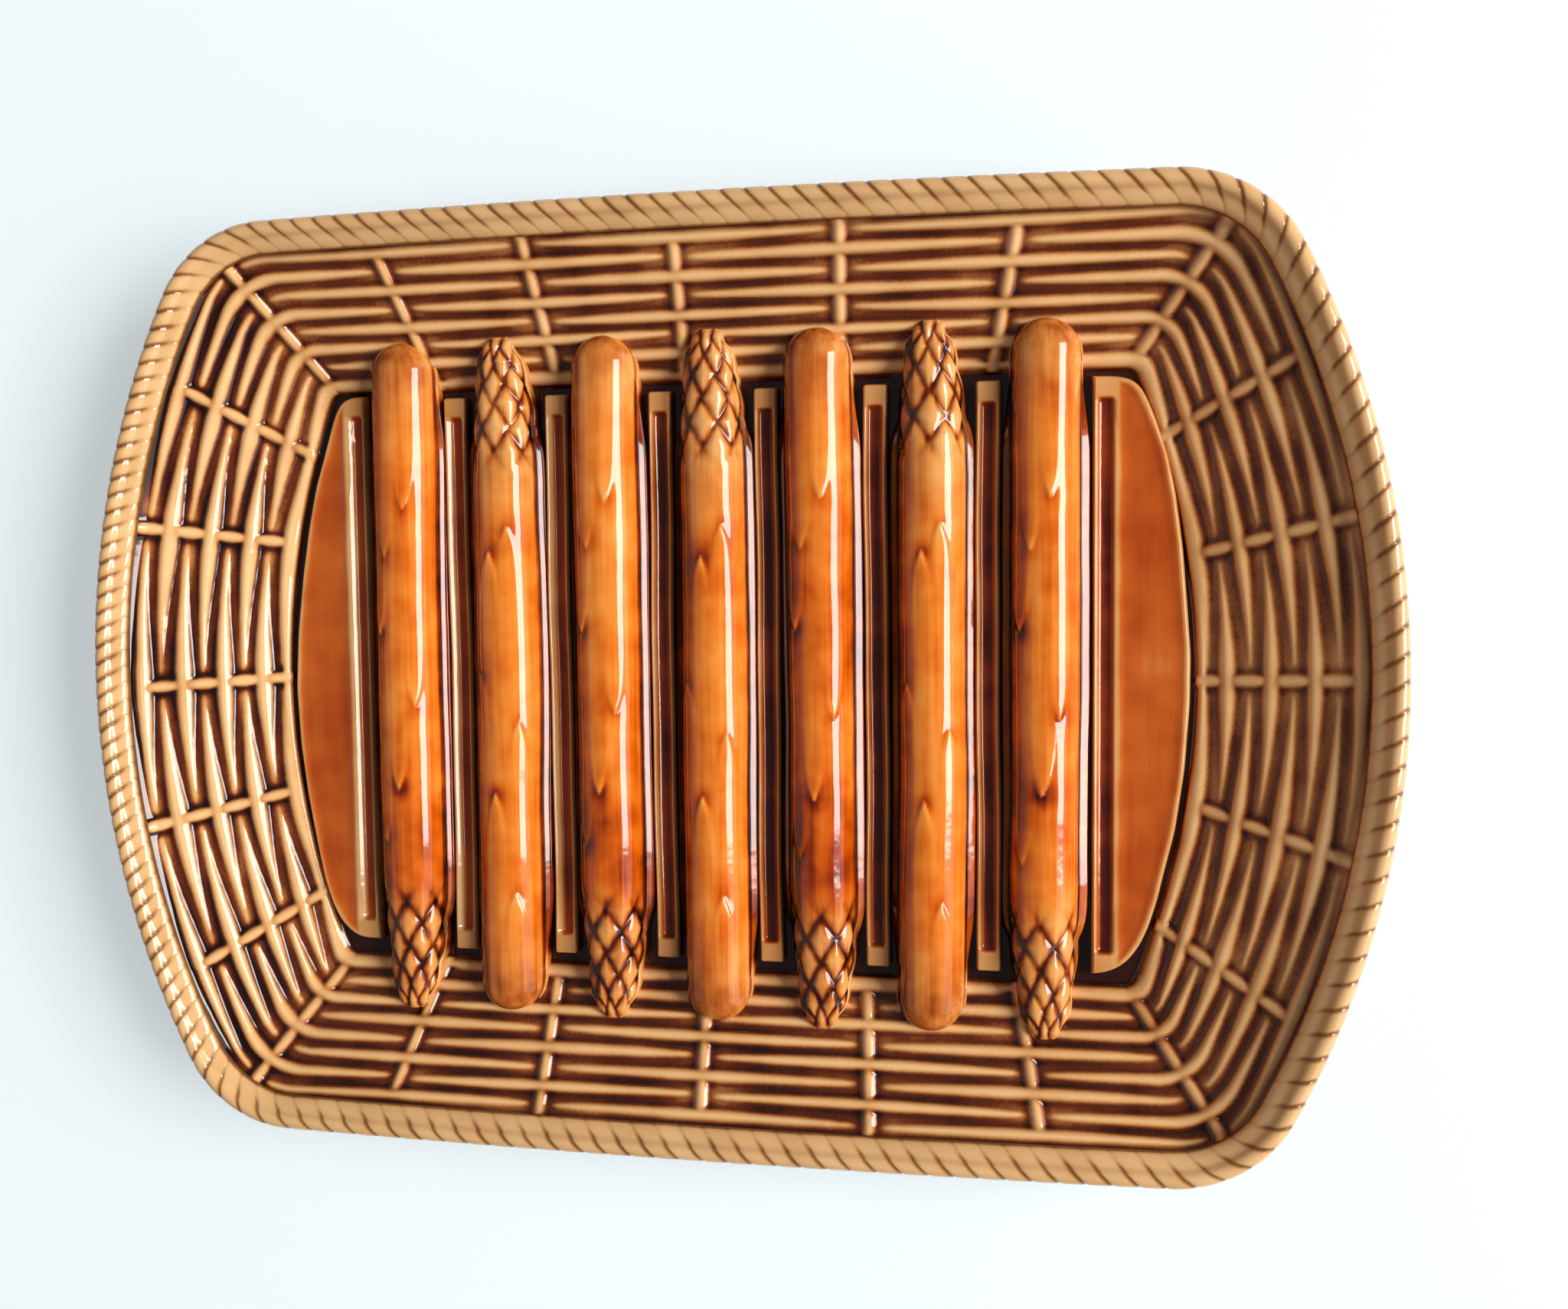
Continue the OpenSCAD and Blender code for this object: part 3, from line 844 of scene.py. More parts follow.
    def withies(
        self, r: int, across: np.ndarray, run: np.ndarray, stakes: np.ndarray, wild: np.ndarray
    ) -> np.ndarray:
        """Heights of one row of withies.

        Args:
            r: Number of the row, from 1 at the rim.
            across: Distance of each line from the row, down the wall.
            run: Run of each point along its line.
            stakes: Runs of the stakes along each line.
            wild: Lean, bend, width and height of each withy, from -1 to 1.

        Returns:
            The height of each point over the row surface.
        """
        cell = np.arange(STAKES * self.columns) // self.columns
        over = np.where((cell + r) % 2 == 0, cell, cell + 1)
        other = np.where(over == cell, cell + 1, cell)
        at_over, at_other = stakes[:, over + AHEAD], stakes[:, other + AHEAD]
        reach = np.abs(at_other - at_over) - self.withy_gap
        share = np.abs(run - at_over) / reach
        side = np.sign(other - over)[None, :]
        bend = self.bend * wild[1][over] * (share**2 - self.bend_middle)
        lean = wild[0][over] * self.lean * side * share + bend
        wedge = self.wedge[cell]
        girth = np.interp(share, *self.long_taper) * (1 - wedge)
        girth += np.interp(share, *self.wedge_taper) * wedge
        inwards = (across > 0) & (r == self.rows)
        girth = np.where(inwards, np.maximum(girth, self.last_girth), girth)
        full = self.withy_w + self.wedge_more * wedge
        half_w = mix(self.withy_end, full, girth) / 2 * (1 + self.uneven_w * wild[2][over])
        half_w = np.where(inwards, self.last_wider, 1.0) * half_w
        top = mix(self.point_top, self.withy_top, girth) + self.uneven_top * wild[3][over]
        fade = np.where(inwards, 1.0, self.point_fade.left(share))
        near_axis = np.clip(np.abs(across - lean) / (self.flank_spread * half_w), 0, 1)
        body = (1 + np.cos(math.pi * near_axis**self.crest_power)) / 2
        left = self.wedge * (np.arange(STAKES) >= 3 * STAKES // 4)
        planed = np.interp(near_axis, *self.left_flank)
        body = body + (planed - body) * left[cell] * (across > lean)
        return self.seat + (top - self.seat) * body * fade

    def relief(self, downs: np.ndarray, runs: np.ndarray, stakes: np.ndarray) -> np.ndarray:
        """Heights of withies and stakes over the wall.

        Args:
            downs: Distance of each line down the wall.
            runs: Run of each point along its line.
            stakes: Runs of the stakes along each line.

        Returns:
            The height of each point over the row surface.
        """
        rng = np.random.default_rng(WALL_SEED)
        height = np.full(runs.shape, self.seat)
        for r in range(1, self.rows + 1):
            off = downs - (r - 1) * self.row_gap
            lines = np.nonzero(np.abs(off) < self.withy_reach_share * self.row_gap)[0]
            wild = rng.uniform(-1, 1, (4, STAKES + 2))
            row = self.withies(r, off[lines][:, None], runs[lines], stakes[lines], wild)
            height[lines] = soft_max(height[lines], row, self.withy_fillet)
        for k in range(STAKES):
            # The first and last stakes show at both ends of the round trip
            turns = {k, k + STAKES if k < 2 else k, k - STAKES if k > STAKES - 2 else k}
            for r in range(1 + k % 2, self.rows + 1, 2):
                off = np.abs(downs - (r - 1) * self.row_gap)
                lines = np.nonzero(off < self.stake_reach_share * self.row_gap)[0]
                along = off[lines][:, None] / (self.stake_end_share * self.row_gap)
                end = np.clip(1 - along**self.stake_end_power, 0, 1) ** self.stake_shoulder
                for where in turns:
                    across = np.abs(runs[lines] - stakes[lines][:, where + AHEAD][:, None])
                    body = 1 - (across / (self.stake_w / 2)) ** self.stake_power
                    body = np.clip(body, 0, 1) ** self.stake_shoulder
                    bar = self.seat + (self.stake_top - self.seat) * body * end
                    height[lines] = soft_max(height[lines], bar, self.stake_fillet)
        return height

    def glaze(self, points: np.ndarray, height: np.ndarray, downs: np.ndarray) -> np.ndarray:
        """Depth of the glaze over the wall.

        Args:
            points: Points of the row surface.
            height: Height of the relief at each point.
            downs: Distance of each line down the wall.

        Returns:
            The depth at each point.
        """
        deep = blurred(height, self.hollow_blur, (False, True)) - height
        near = self.near_side.left(points[..., 1])
        left = self.left_end.left(points[..., 0])
        down = downs[:, None]
        pool = self.pool_level + self.pool_near * near + self.pool_slope * deep
        pool += (self.hollow_more + self.hollow_near * near) * (1 - left) * self.hollow.at(deep)
        pool += left * (self.left_hollow.at(deep) - self.left_thinner)
        lip = self.left_lip_more * left * self.left_lip.left(down)
        pool += lip * self.left_lip_hollow.at(deep)
        pool += self.rope_edge.at(-down) + self.moat_edge.at(down)
        return pool

    def build(self) -> None:
        """Makes the wall as one piece for each row."""
        points, runs, stakes = self.base()
        downs = np.array([line[2] for line in self.lines()])
        normals = grid_normals(points, (False, True))
        height = blurred(self.relief(downs, runs, stakes), self.soften, (False, True))
        height = mix(height, self.moat_seat, self.moat_start.at(downs)[:, None])
        shape = points + normals * height[..., None]
        pool = self.glaze(points, height, downs)
        final = grid_normals(shape, (False, True))
        material = WEAVE_GLAZE.material()
        sides = ("far_side", "right_end", "near_side", "left_end", "corner")
        stake_nodes = tuple(f"{side}_stakes" for side in sides)
        middle = self.lip_lines + self.row_lines // 2
        between = [middle + i * self.row_lines for i in range(self.rows - 1)]
        edges = [0] + between + [len(downs) - 1]
        for r in range(1, self.rows + 1):
            first, last = edges[r - 1], edges[r] + 1
            band = shape[first:last].transpose(1, 0, 2)[:, ::-1]
            deep = points[[first, last - 1]] - normals[[first, last - 1]] * self.back
            rings, depth = closed(band, deep.transpose(1, 0, 2), pool[first:last].T[:, ::-1])
            facing = final[first:last].transpose(1, 0, 2)[:, ::-1]
            skin = Skin(rings, depth, last - first, True, facing)
            nodes = (f"woven_row_{r}",) + stake_nodes
            make_piece(f"basket_row_{r}", [skin], material, nodes)


@dataclass
class RopeBorder:
    """Band of slanting strands, laid as a rope round the edge of the plate."""

    form: PlateForm
    width: float = 9.4
    visible_w: float = 9.0
    # How far ahead and behind the rim's direction is read
    probe: float = 1.0
    # Points of a ring, steps by which strands are counted, how much finer the section is while
    # it is rounded, and how often it is averaged
    sides: int = 52
    fine: int = 2000
    finer: int = 8
    rounding: int = 24
    # Length of a strand along the rim, at the right, far, left and near side
    pitches: tuple = (7.0, 6.6, 4.95, 7.0)
    # How far a strand slants over the width of the band, in the same order
    skews: tuple = (5.8, 8.4, 5.8, 8.4)
    # Distance from the short middle line at which a side turns into an end
    end_turn: Ramp = Ramp(138.0, 168.0)
    # Section from the outer edge over the crown to the inner edge, and back under the band
    section: tuple = (
        (4.7, 30.6), (4.64, 32.2), (4.25, 33.6), (3.4, 34.6), (2.2, 35.15), (1.2, 35.1),
        (0.4, 34.75), (-0.1, 34.2), (-0.5, 33.6), (-0.95, 33.15), (-1.9, 32.65), (-3.0, 32.0),
        (-4.0, 31.1), (-4.55, 30.0), (-4.6, 29.0), (-3.4, 28.3), (0.2, 28.0), (3.4, 28.3),
        (4.5, 29.3))
    # Point that the section shrinks towards
    heart: tuple = (0.3, 31.6)
    # Places of the rings in a strand, closer beside the groove
    ring_shares: tuple = (0.0, 0.035, 0.075, 0.12, 0.2, 0.38, 0.6, 0.79, 0.9, 0.96)
    # Grooves: depth and half width, and how they rise out of the band's foot and inner edge
    groove: float = 0.24
    groove_half_w: float = 0.55
    groove_foot: Ramp = Ramp(29.4, 31.4)
    groove_least: float = 0.55
    groove_more: Ramp = Ramp(-3.2, 0.0, 0.45)
    # Swell of a strand between two grooves, its unevenness, and how far the band lies inside
    # its section
    belly: float = 0.06
    belly_uneven: float = 0.4
    slack: float = 0.08
    # Depth of the glaze on the strands, and its unevenness
    pool_level: float = 0.16
    pool_uneven: float = 0.05
    # Line of glaze in a groove: half width, and strength up the band and across it
    line_half_w: float = 0.85
    line_more: float = 0.62
    line_foot: Ramp = Ramp(29.0, 32.0)
    line_least: float = 0.25
    line_crown: Ramp = Ramp(-3.4, -0.5, 0.55)
    line_outside: Ramp = Ramp(-0.5, 2.0, 0.15)
    # Glaze that gathers at the inner foot of the band
    inner_more: float = 0.7
    inner_across: Ramp = Ramp(-4.6, -3.7)
    inner_up: Ramp = Ramp(29.8, 31.4)

    def by_side(self, places: np.ndarray, values: tuple) -> np.ndarray:
        """Blends values of the four sides.

        Args:
            places: Points round the rim.
            values: Value at the right, far, left and near side.

        Returns:
            The value at each point.
        """
        ends = np.where(places[..., 0] > 0, values[0], values[2])
        sides = np.where(places[..., 1] > 0, values[1], values[3])
        return sides + (ends - sides) * self.end_turn.at(np.abs(places[..., 0]))

    def strand_runs(self, track: Track) -> np.ndarray:
        """Lays the strands out, closer together at the left end.

        Args:
            track: Middle line of the band.

        Returns:
            The run at which each strand starts, and the end of the last.
        """
        runs = np.linspace(0, track.length, self.fine)
        density = 1 / self.by_side(track.at(runs), self.pitches)
        phase = np.concatenate([[0.0], np.cumsum((density[1:] + density[:-1]) / 2 * np.diff(runs))])
        count = round(phase[-1])
        return np.interp(np.arange(count + 1) * phase[-1] / count, phase, runs)

    def outline(self) -> np.ndarray:
        """Rounds the band's section.

        Returns:
            Ring of evenly spaced points, across the band and up.
        """
        knots = np.array(self.section + self.section[:1])
        runs = run_lengths(knots)
        fine = np.linspace(0, runs[-1], self.finer * self.sides, endpoint=False)
        ring = np.stack([np.interp(fine, runs, knots[:, i]) for i in (0, 1)], 1)
        return blurred(ring, (self.rounding, 0), (True, False))[:: self.finer]

    def glaze(self, x: np.ndarray, z: np.ndarray, gap: np.ndarray, wild: np.ndarray) -> np.ndarray:
        """Depth of the glaze over the band.

        Args:
            x: Place of each point of the section across the band.
            z: Its height.
            gap: Distance of each ring from the nearest groove.
            wild: Unevenness of each ring's strand, from -1 to 1.

        Returns:
            The depth at each point.
        """
        line = np.exp(-((gap / self.line_half_w) ** 2)) * self.line_foot.at(z)
        fade = self.line_least + self.line_crown.at(x) + self.line_outside.at(x)
        inner = self.inner_across.left(x) * self.inner_up.left(z)
        pool = self.pool_level + self.line_more * line * fade
        return pool + self.inner_more * inner + self.pool_uneven * wild

    def build(self) -> None:
        """Makes the rope."""
        track = Track.along(self.form.rim.inset(self.width / 2))
        starts = self.strand_runs(track)
        shares = np.array(self.ring_shares)
        run = (starts[:-1, None] + np.diff(starts)[:, None] * shares[None, :]).reshape(-1, 1)
        share = np.tile(shares, len(starts) - 1)[:, None]
        length = np.repeat(np.diff(starts), len(shares))[:, None]
        rng = np.random.default_rng(ROPE_SEED)
        wild = np.repeat(rng.uniform(-1, 1, len(starts) - 1), len(shares))[:, None]
        x, z = self.outline().T
        outwards = np.stack([x, z], 1) - np.array(self.heart)
        outwards /= np.linalg.norm(outwards, axis=1, keepdims=True)
        gap = np.minimum(share, 1 - share) * length
        top = self.groove_foot.at(z) * (self.groove_least + self.groove_more.at(x))
        cut = np.exp(-((gap / self.groove_half_w) ** 2)) * top
        belly = self.belly * (1 - (2 * share - 1) ** 2) * (1 + self.belly_uneven * wild)
        shrink = self.groove * cut - belly * top + self.slack
        place = run + x / self.visible_w * self.by_side(track.at(run), self.skews)
        flat = track.at(place)
        along = track.at(place + self.probe) - track.at(place - self.probe)
        out = np.stack([along[..., 1], -along[..., 0]], -1)
        out /= np.linalg.norm(out, axis=2, keepdims=True)
        wide, tall = x - outwards[:, 0] * shrink, z - outwards[:, 1] * shrink
        rings = np.concatenate([flat + out * wide[..., None], tall[..., None]], 2)
        pool = self.glaze(x, z, gap, wild)
        skin = Skin(rings[:, ::-1], pool[:, ::-1], self.sides, True, shut=True)
        make_piece("rope_border", [skin], ROPE_GLAZE.material(), ("rope_border",))


@dataclass
class DishBody:
    """Floor of the well, outer side of the wall, underside and foot ring."""

    form: PlateForm
    count: int = 720
    clay_t: float = 5.0
    # Floor, from its middle out to its edge: how far each ring is drawn out, and its glaze
    floor_shares: tuple = (0.02, 0.3, 0.6, 0.85, 0.96, 1.0)
    floor_pool: float = 0.82
    # Ground behind the woven wall: share of the way up and height, how deep it lies, its glaze
    wall_steps: tuple = ((0.0, 9.0), (0.5, 17.4), (1.0, 25.0))
    wall_sink: float = 1.6
    wall_pool: float = 0.9
    # Seat of the rope: how far the lip's inner edge lies under it, and how far out it is flat
    lip_sink: float = 0.6
    lip_share: float = 0.3
    lip_pool: float = 0.6
    # Outer edge of the lip: its distance from the rim, and insets and drops of its round
    edge_inset: float = 2.35
    edge_steps: tuple = ((0.0, 0.6), (0.0, 2.4), (0.0, 3.6), (0.35, 4.6), (1.4, 5.6))
    edge_pool: float = 0.35
    # Outer side of the wall: shares of the way down, sag, inset and height of its foot, glaze
    flare_shares: tuple = (0.12, 0.3, 0.5, 0.7, 0.85, 0.95)
    flare_sag: float = 0.9
    flare_inset: float = 1.5
    flare_foot: float = 0.9
    flare_pool: float = 0.38
    # Bend into the underside: inset from the innermost row, height and glaze
    base_steps: tuple = ((2.6, 0.45, 0.45), (4.5, 0.1, 0.5))
    under_inset: float = 5.5
    under_shares: tuple = (1.0, 0.7, 0.4, 0.02)
    under_pool: float = 0.5
    # Foot ring: width, inset and corners, and the round of its edges with the middle of that
    foot_w: float = 5.0
    foot_inset: float = 14.0
    foot_corner_r: float = 16.0
    foot_r: float = 1.2
    foot_soft: float = 0.35
    # Fillet into the underside, as inset and height from it
    foot_root: tuple = ((-1.2, 0.3), (-0.5, 0.0), (-0.1, -0.5))
    # Depth of the glaze from the underside down to the face that it stands on
    foot_pools: tuple = (0.5, 0.5, 0.45, 0.3, 0.1, 0.0)

    def ring(self, outline: Barrel, z: float, share: float = 1.0) -> np.ndarray:
        """Points round an outline.

        Args:
            outline: The outline.
            z: Its height.
            share: How far it is drawn out from the middle.

        Returns:
            Points, evenly spaced.
        """
        track = Track.along(outline)
        flat = track.at(np.linspace(0, track.length, self.count, endpoint=False)) * share
        return np.column_stack([flat, np.full(self.count, z)])

    def build(self) -> None:
        """Makes the dish and its foot."""
        material = BODY_GLAZE.material()
        self.dish(material)
        self.foot(material)

    def dish(self, material: bpy.types.Material) -> None:
        """Makes the dish.

        Args:
            material: The glaze.
        """
        form = self.form
        row = form.inner_row
        floor = row.inset(form.well_inset)
        steps = [(floor, form.floor_z, share, self.floor_pool) for share in self.floor_shares]
        for share, z in self.wall_steps:
            line = row.mixed(form.outer_row, share)
            steps.append((line, z - self.wall_sink, 1.0, self.wall_pool))
        lip = form.rim.inset(form.lip_inset)
        steps.append((lip, form.lip_z - self.lip_sink, 1.0, self.lip_pool))
        steps.append((lip.mixed(form.rim, self.lip_share), form.lip_z, 1.0, self.lip_pool))
        outer = form.rim.inset(self.edge_inset)
        for inset, drop in self.edge_steps:
            steps.append((outer.inset(inset), form.lip_z - drop, 1.0, self.edge_pool))
        low = row.inset(self.flare_inset)
        for share in self.flare_shares:
            z = mix(form.lip_z - self.clay_t, form.under_z + self.flare_foot, share)
            z -= self.flare_sag * math.sin(share * math.pi)
            steps.append((outer.mixed(low, share), z, 1.0, self.flare_pool))
        for inset, rise, pool in self.base_steps:
            steps.append((row.inset(inset), form.under_z + rise, 1.0, pool))
        under = row.inset(self.under_inset)
        steps += [(under, form.under_z, share, self.under_pool) for share in self.under_shares]
        rings = np.array([self.ring(outline, z, share) for outline, z, share, _ in steps])
        pool = np.array([[pool] * self.count for *_, pool in steps])
        skin = Skin(rings, pool, self.count, shut=True)
        make_piece("dish_body", [skin], material, ("dish_body",))

    def foot(self, material: bpy.types.Material) -> None:
        """Makes the foot ring.

        Args:
            material: The glaze.
        """
        form = self.form
        line = replace(form.inner_row.inset(self.foot_inset), corner_r=self.foot_corner_r)
        half = [(inset, form.under_z + up) for inset, up in self.foot_root]
        half += [(0.0, self.foot_r), (self.foot_soft, self.foot_soft), (self.foot_r, 0.0)]
        section = half + [(self.foot_w - inset, z) for inset, z in half[::-1]]
        loops = np.array([self.ring(line.inset(inset), z) for inset, z in section])
        pool = np.tile(np.array(self.foot_pools + self.foot_pools[::-1]), (self.count, 1))
        skin = Skin(loops.transpose(1, 0, 2)[:, ::-1], pool, len(section), True)
        make_piece("foot_ring", [skin], material, ("foot_ring",))


@dataclass
class WellLands:
    """Drip lands between the spears and the D-shaped panels at the ends of the well."""

    form: PlateForm
    spears: int = 7
    land_h: float = 4.0
    land_w: float = 7.4
    land_corner_r: float = 1.2
    far_end: float = 83.2
    near_end: float = -82.4
    # How deep lands and panels start under the floor, and how far down they are closed
    sunk: float = 0.05
    back: float = 0.8
    # Rounded edge of lands and panels: its radius and its squareness
    edge_r: float = 1.1
    edge_power: float = 2.4
    # Hand-cut waves in a land's sides: height, length over 2 pi, and shift from land to land
    waves: tuple = ((0.18, 23, 1.7), (0.1, 9, 1))
    # Across a land, from its middle: how deep its trough is cut, and its glaze, at the left end
    cut_left: tuple = (
        (-3.15, -2.85, -2.5, -1.4, -0.8, -0.2, 1.2, 1.7, 2.05, 2.4, 2.7),
        (0, 0.03, 0.14, 1.00, 1.6, 1.8, 1.8, 1.5, 0.7, 0.15, 0))
    pool_left: tuple = (
        (-3.5, -3.0, -1.4, -0.9, -0.3, 0.6, 1.4, 1.9, 2.4, 3.0),
        (0.16, 0.04, 0.08, 0.40, 0.58, 0.54, 0.58, 0.42, 0.10, 0.10))
    # The same at the right end
    cut_right: tuple = (
        (-3.15, -2.85, -2.5, -1.6, -1.0, -0.4, 1.2, 1.7, 2.05, 2.4, 2.7),
        (0, 0.10, 0.36, 1.50, 1.85, 1.95, 1.95, 1.6, 0.75, 0.15, 0))
    pool_right: tuple = (
        (-2.9, -2.3, -1.7, -0.9, 0.6, 1.4, 1.9, 2.4, 3.0),
        (0.14, 0.22, 0.52, 0.72, 0.76, 0.72, 0.48, 0.14, 0.14))
    # Where along the plate the troughs turn from left to right, and how much flatter they get
    to_right: Ramp = Ramp(-60.0, 0.0)
    flatter: Ramp = Ramp(-60.0, 70.0, 0.34)
    # Ends of the troughs: distance from the land's ends, and run-out of the cut and its glaze
    trough_inset: float = 6.0
    trough_end: Ramp = Ramp(-0.2, 1.4)
    trough_glaze: Ramp = Ramp(-0.5, 0.6)
    # Hollow of a panel: its depth, its deeper glaze, and the distance inside it of a plain land
    hollow: Ramp = Ramp(0.0, 2.2, 0.45)
    hollow_glaze: Ramp = Ramp(-0.5, 1.3, 0.30)
    no_hollow: float = -1.0
    # Glaze on the flat top and at the foot, and painted shade on a land's right side, which lies
    # in the next spear's shadow
    pool_level: float = 0.16
    foot_glaze: Ramp = Ramp(0.2, 2.0, 0.86)
    side_painted_shade: Ramp = Ramp(3.1, 3.75, 0.80)
    # Lines of a land's mesh, as first, last and count: across it, and lengthwise from its end.
    # Between its ends: distance from the end, and count
    land_xs: tuple = (
        (-5.0, -3.7, 5), (-3.7, -2.5, 11), (-2.5, 2.5, 27), (2.5, 3.7, 11), (3.7, 5.0, 5))
    land_ends: tuple = ((-10.0, -4.6, 20), (-4.6, -1.6, 8), (-1.6, 0.0, 12), (0.0, 1.1, 5))
    land_middle: tuple = (11, 90)
    # Outlines of the panels as x by y, from the near to the far end
    panel_outlines: tuple = (
        ((-107.5, -79.8), (-111.5, -79.4), (-114.6, -77.6), (-117.6, -74.6), (-120.6, -68.8),
         (-123.0, -61.0), (-124.9, -51.5), (-127.6, -36.0), (-129.5, -20.0), (-130.3, -3.0),
         (-129.2, 14.0), (-127.0, 31.0), (-124.6, 45.0), (-121.9, 57.0), (-118.7, 66.7),
         (-115.9, 75.6), (-114.2, 80.2), (-112.0, 82.8), (-109.0, 83.7), (-107.5, 83.8)),
        ((104.0, -81.3), (107.0, -81.2), (111.3, -79.8), (114.8, -77.2), (117.9, -72.9),
         (120.3, -67.5), (122.6, -60.1), (124.3, -52.6), (127.2, -41.0), (129.7, -24.0),
         (131.0, -6.0), (131.1, 8.0), (130.2, 20.0), (128.9, 36.0), (126.9, 51.0),
         (124.8, 61.1), (122.4, 68.5), (119.8, 75.2), (117.6, 79.6), (115.0, 81.8),
         (111.0, 82.7), (104.0, 82.8)))
    # How much further out and longer the foot of a panel is, and how its outline is rounded
    panel_more: float = 1.7
    panel_longer: float = 1.008
    panel_fine: int = 300
    panel_rounding: int = 14
    # Straight edge of a panel, how far its outline runs on behind it, and distances of the
    # hollow from the edge and from the outline
    panel_edge: float = 106.2
    panel_back: float = 4.0
    panel_bar: float = 7.0
    panel_rim: float = 1.3
    # Lines of a panel's mesh: rows, border round it, and shares of the way out to the outline
    panel_rows: int = 420
    panel_border: float = 1.0
    panel_xs: tuple = ((0.0, 0.05, 4), (0.05, 0.36, 34), (0.36, 0.88, 16), (0.88, 1.0, 18))

    @staticmethod
    def knots(pieces: tuple) -> np.ndarray:
        """Returns sorted places, evenly spaced in each of these ranges."""
        return np.unique(np.round(np.concatenate([np.linspace(*piece) for piece in pieces]), 4))

    def heights(
        self, inside: np.ndarray, across: np.ndarray, end: np.ndarray, dished: np.ndarray | float,
        middle: float,
    ) -> tuple[np.ndarray, np.ndarray]:
        """Heights and glaze of a land or a panel.

        Args:
            inside: Distance inside the outline.
            across: Place across the land, from its middle.
            end: Distance inside the ends of the trough.
            dished: Distance inside the hollow of a panel.
            middle: Place of the land along the plate.

        Returns:
            Height over the floor, and depth of glaze.
        """
        edge = 1 - (1 - np.clip(inside / self.edge_r, 0, 1)) ** self.edge_power
        rise = np.where(inside < 0, 0, self.land_h * np.sqrt(np.clip(edge, 0, 1)))
        right = self.to_right.at(middle)
        cut = mix(np.interp(across, *self.cut_left), np.interp(across, *self.cut_right), right)
        cut *= self.trough_end.at(end) * (1 - self.flatter.at(middle))
        trough = mix(np.interp(across, *self.pool_left), np.interp(across, *self.pool_right), right)
        trough = (trough - self.pool_level) * self.trough_glaze.at(end)
        pool = self.pool_level + trough + self.hollow_glaze.at(dished)
        return rise - cut - self.hollow.at(dished), np.maximum(pool, self.foot_glaze.left(rise))

    def build(self) -> None:
        """Makes the six lands and the two panels."""
        material = LAND_GLAZE.material()
        half_l = (self.far_end - self.near_end) / 2
        xs = self.knots(self.land_xs)
        ends = self.knots(tuple((half_l + a, half_l + b, n) for a, b, n in self.land_ends))
        inset, count = self.land_middle
        between = np.linspace(-half_l + inset, half_l - inset, count)
        ys = np.concatenate([-ends[::-1], between, ends])
        y, x = np.meshgrid(ys, xs, indexing="ij")
        round_r = self.land_corner_r
        dx, dy = np.abs(x) - self.land_w / 2 + round_r, np.abs(y) - half_l + round_r
        out = np.hypot(np.maximum(dx, 0), np.maximum(dy, 0))
        inside = round_r - out - np.minimum(np.maximum(dx, dy), 0)
        end = half_l - self.trough_inset - np.abs(y)
        shift = (self.far_end + self.near_end) / 2
        skins = []
        for i in range(1, self.spears):
            middle = (i - self.spears / 2) * self.form.spear_pitch
            wave = sum(high * np.sin(y / long + i * turn) for high, long, turn in self.waves)
            rise, pool = self.heights(inside, x, end, self.no_hollow, middle)
            # Painted shade down the land's right side
            pool = np.maximum(pool, self.side_painted_shade.at(x))
            skins.append(self.close(x + middle + wave, y + shift, rise, pool))
        make_piece("drip_lands", skins, material, ("drip_lands",))
        for side, name in ((-1, "left_end_panel"), (1, "right_end_panel")):
            self.panel(side, name, material)

    def close(self, x: np.ndarray, y: np.ndarray, rise: np.ndarray, pool: np.ndarray) -> Skin:
        """Closes a relief into a solid, with its back under the floor.

        Args:
            x: Places along X, by row and column.
            y: Places along Y.
            rise: Heights over the floor.
            pool: Depths of glaze, with the painted shade on the sides of the lands.

        Returns:
            The skin, whose rings run along X.
        """
        front = np.stack([x, y, self.form.floor_z - self.sunk + rise], -1)[:, ::-1]
        deep = front[:, [-1, 0]].copy()
        deep[..., 2] = self.form.floor_z - self.back
        return Skin(*closed(front, deep, pool[:, ::-1]), x.shape[1])

    def panel(self, side: int, name: str, material: bpy.types.Material) -> None:
        """Makes one end panel.

        Args:
            side: 1 for the right end, -1 for the left.
            name: The piece's name.
            material: The glaze.
        """
        edge, border = self.panel_edge, self.panel_border
        knots = np.array(self.panel_outlines[(side + 1) // 2]) * (side, self.panel_longer)
        knots = knots + (self.panel_more, 0)
        steps = run_lengths(knots)
        fine = np.linspace(0, steps[-1], self.panel_fine)
        curve = np.stack([np.interp(fine, steps, knots[:, i]) for i in (0, 1)], 1)
        curve = blurred(curve, (self.panel_rounding, 0), (False, False))
        low, high = curve[0, 1], curve[-1, 1]
        ys = np.linspace(low - border, high + border, self.panel_rows)
        reach = np.interp(ys, curve[:, 1], curve[:, 0])
        start, stop = edge - border, np.maximum(reach, edge + 2 * border) + border
        x = start + self.knots(self.panel_xs)[None, :] * (stop - start)[:, None]
        y = np.repeat(ys[:, None], x.shape[1], 1)
        inner = edge - self.panel_back
        line = np.concatenate([[[inner, low]], curve, [[inner, high]]])
        gap = self.distance(np.stack([x, y], -1), line)
        within = (y > low) & (y < high) & (x < np.interp(y, curve[:, 1], curve[:, 0]))
        inside = np.minimum(np.where(within, gap, -gap), x - edge)
        end = (high - low) / 2 - self.trough_inset - np.abs(y - (high + low) / 2)
        dished = np.minimum(inside - self.panel_rim, x - edge - self.panel_bar)
        across = side * (x - edge - self.land_w / 2)
        rise, pool = self.heights(inside, across, end, dished, side * edge)
        if side < 0:
            x, y, rise, pool = -x[:, ::-1], y[:, ::-1], rise[:, ::-1], pool[:, ::-1]
        skin = self.close(x, y, rise, pool)
        make_piece(name, [skin], material, (name,))

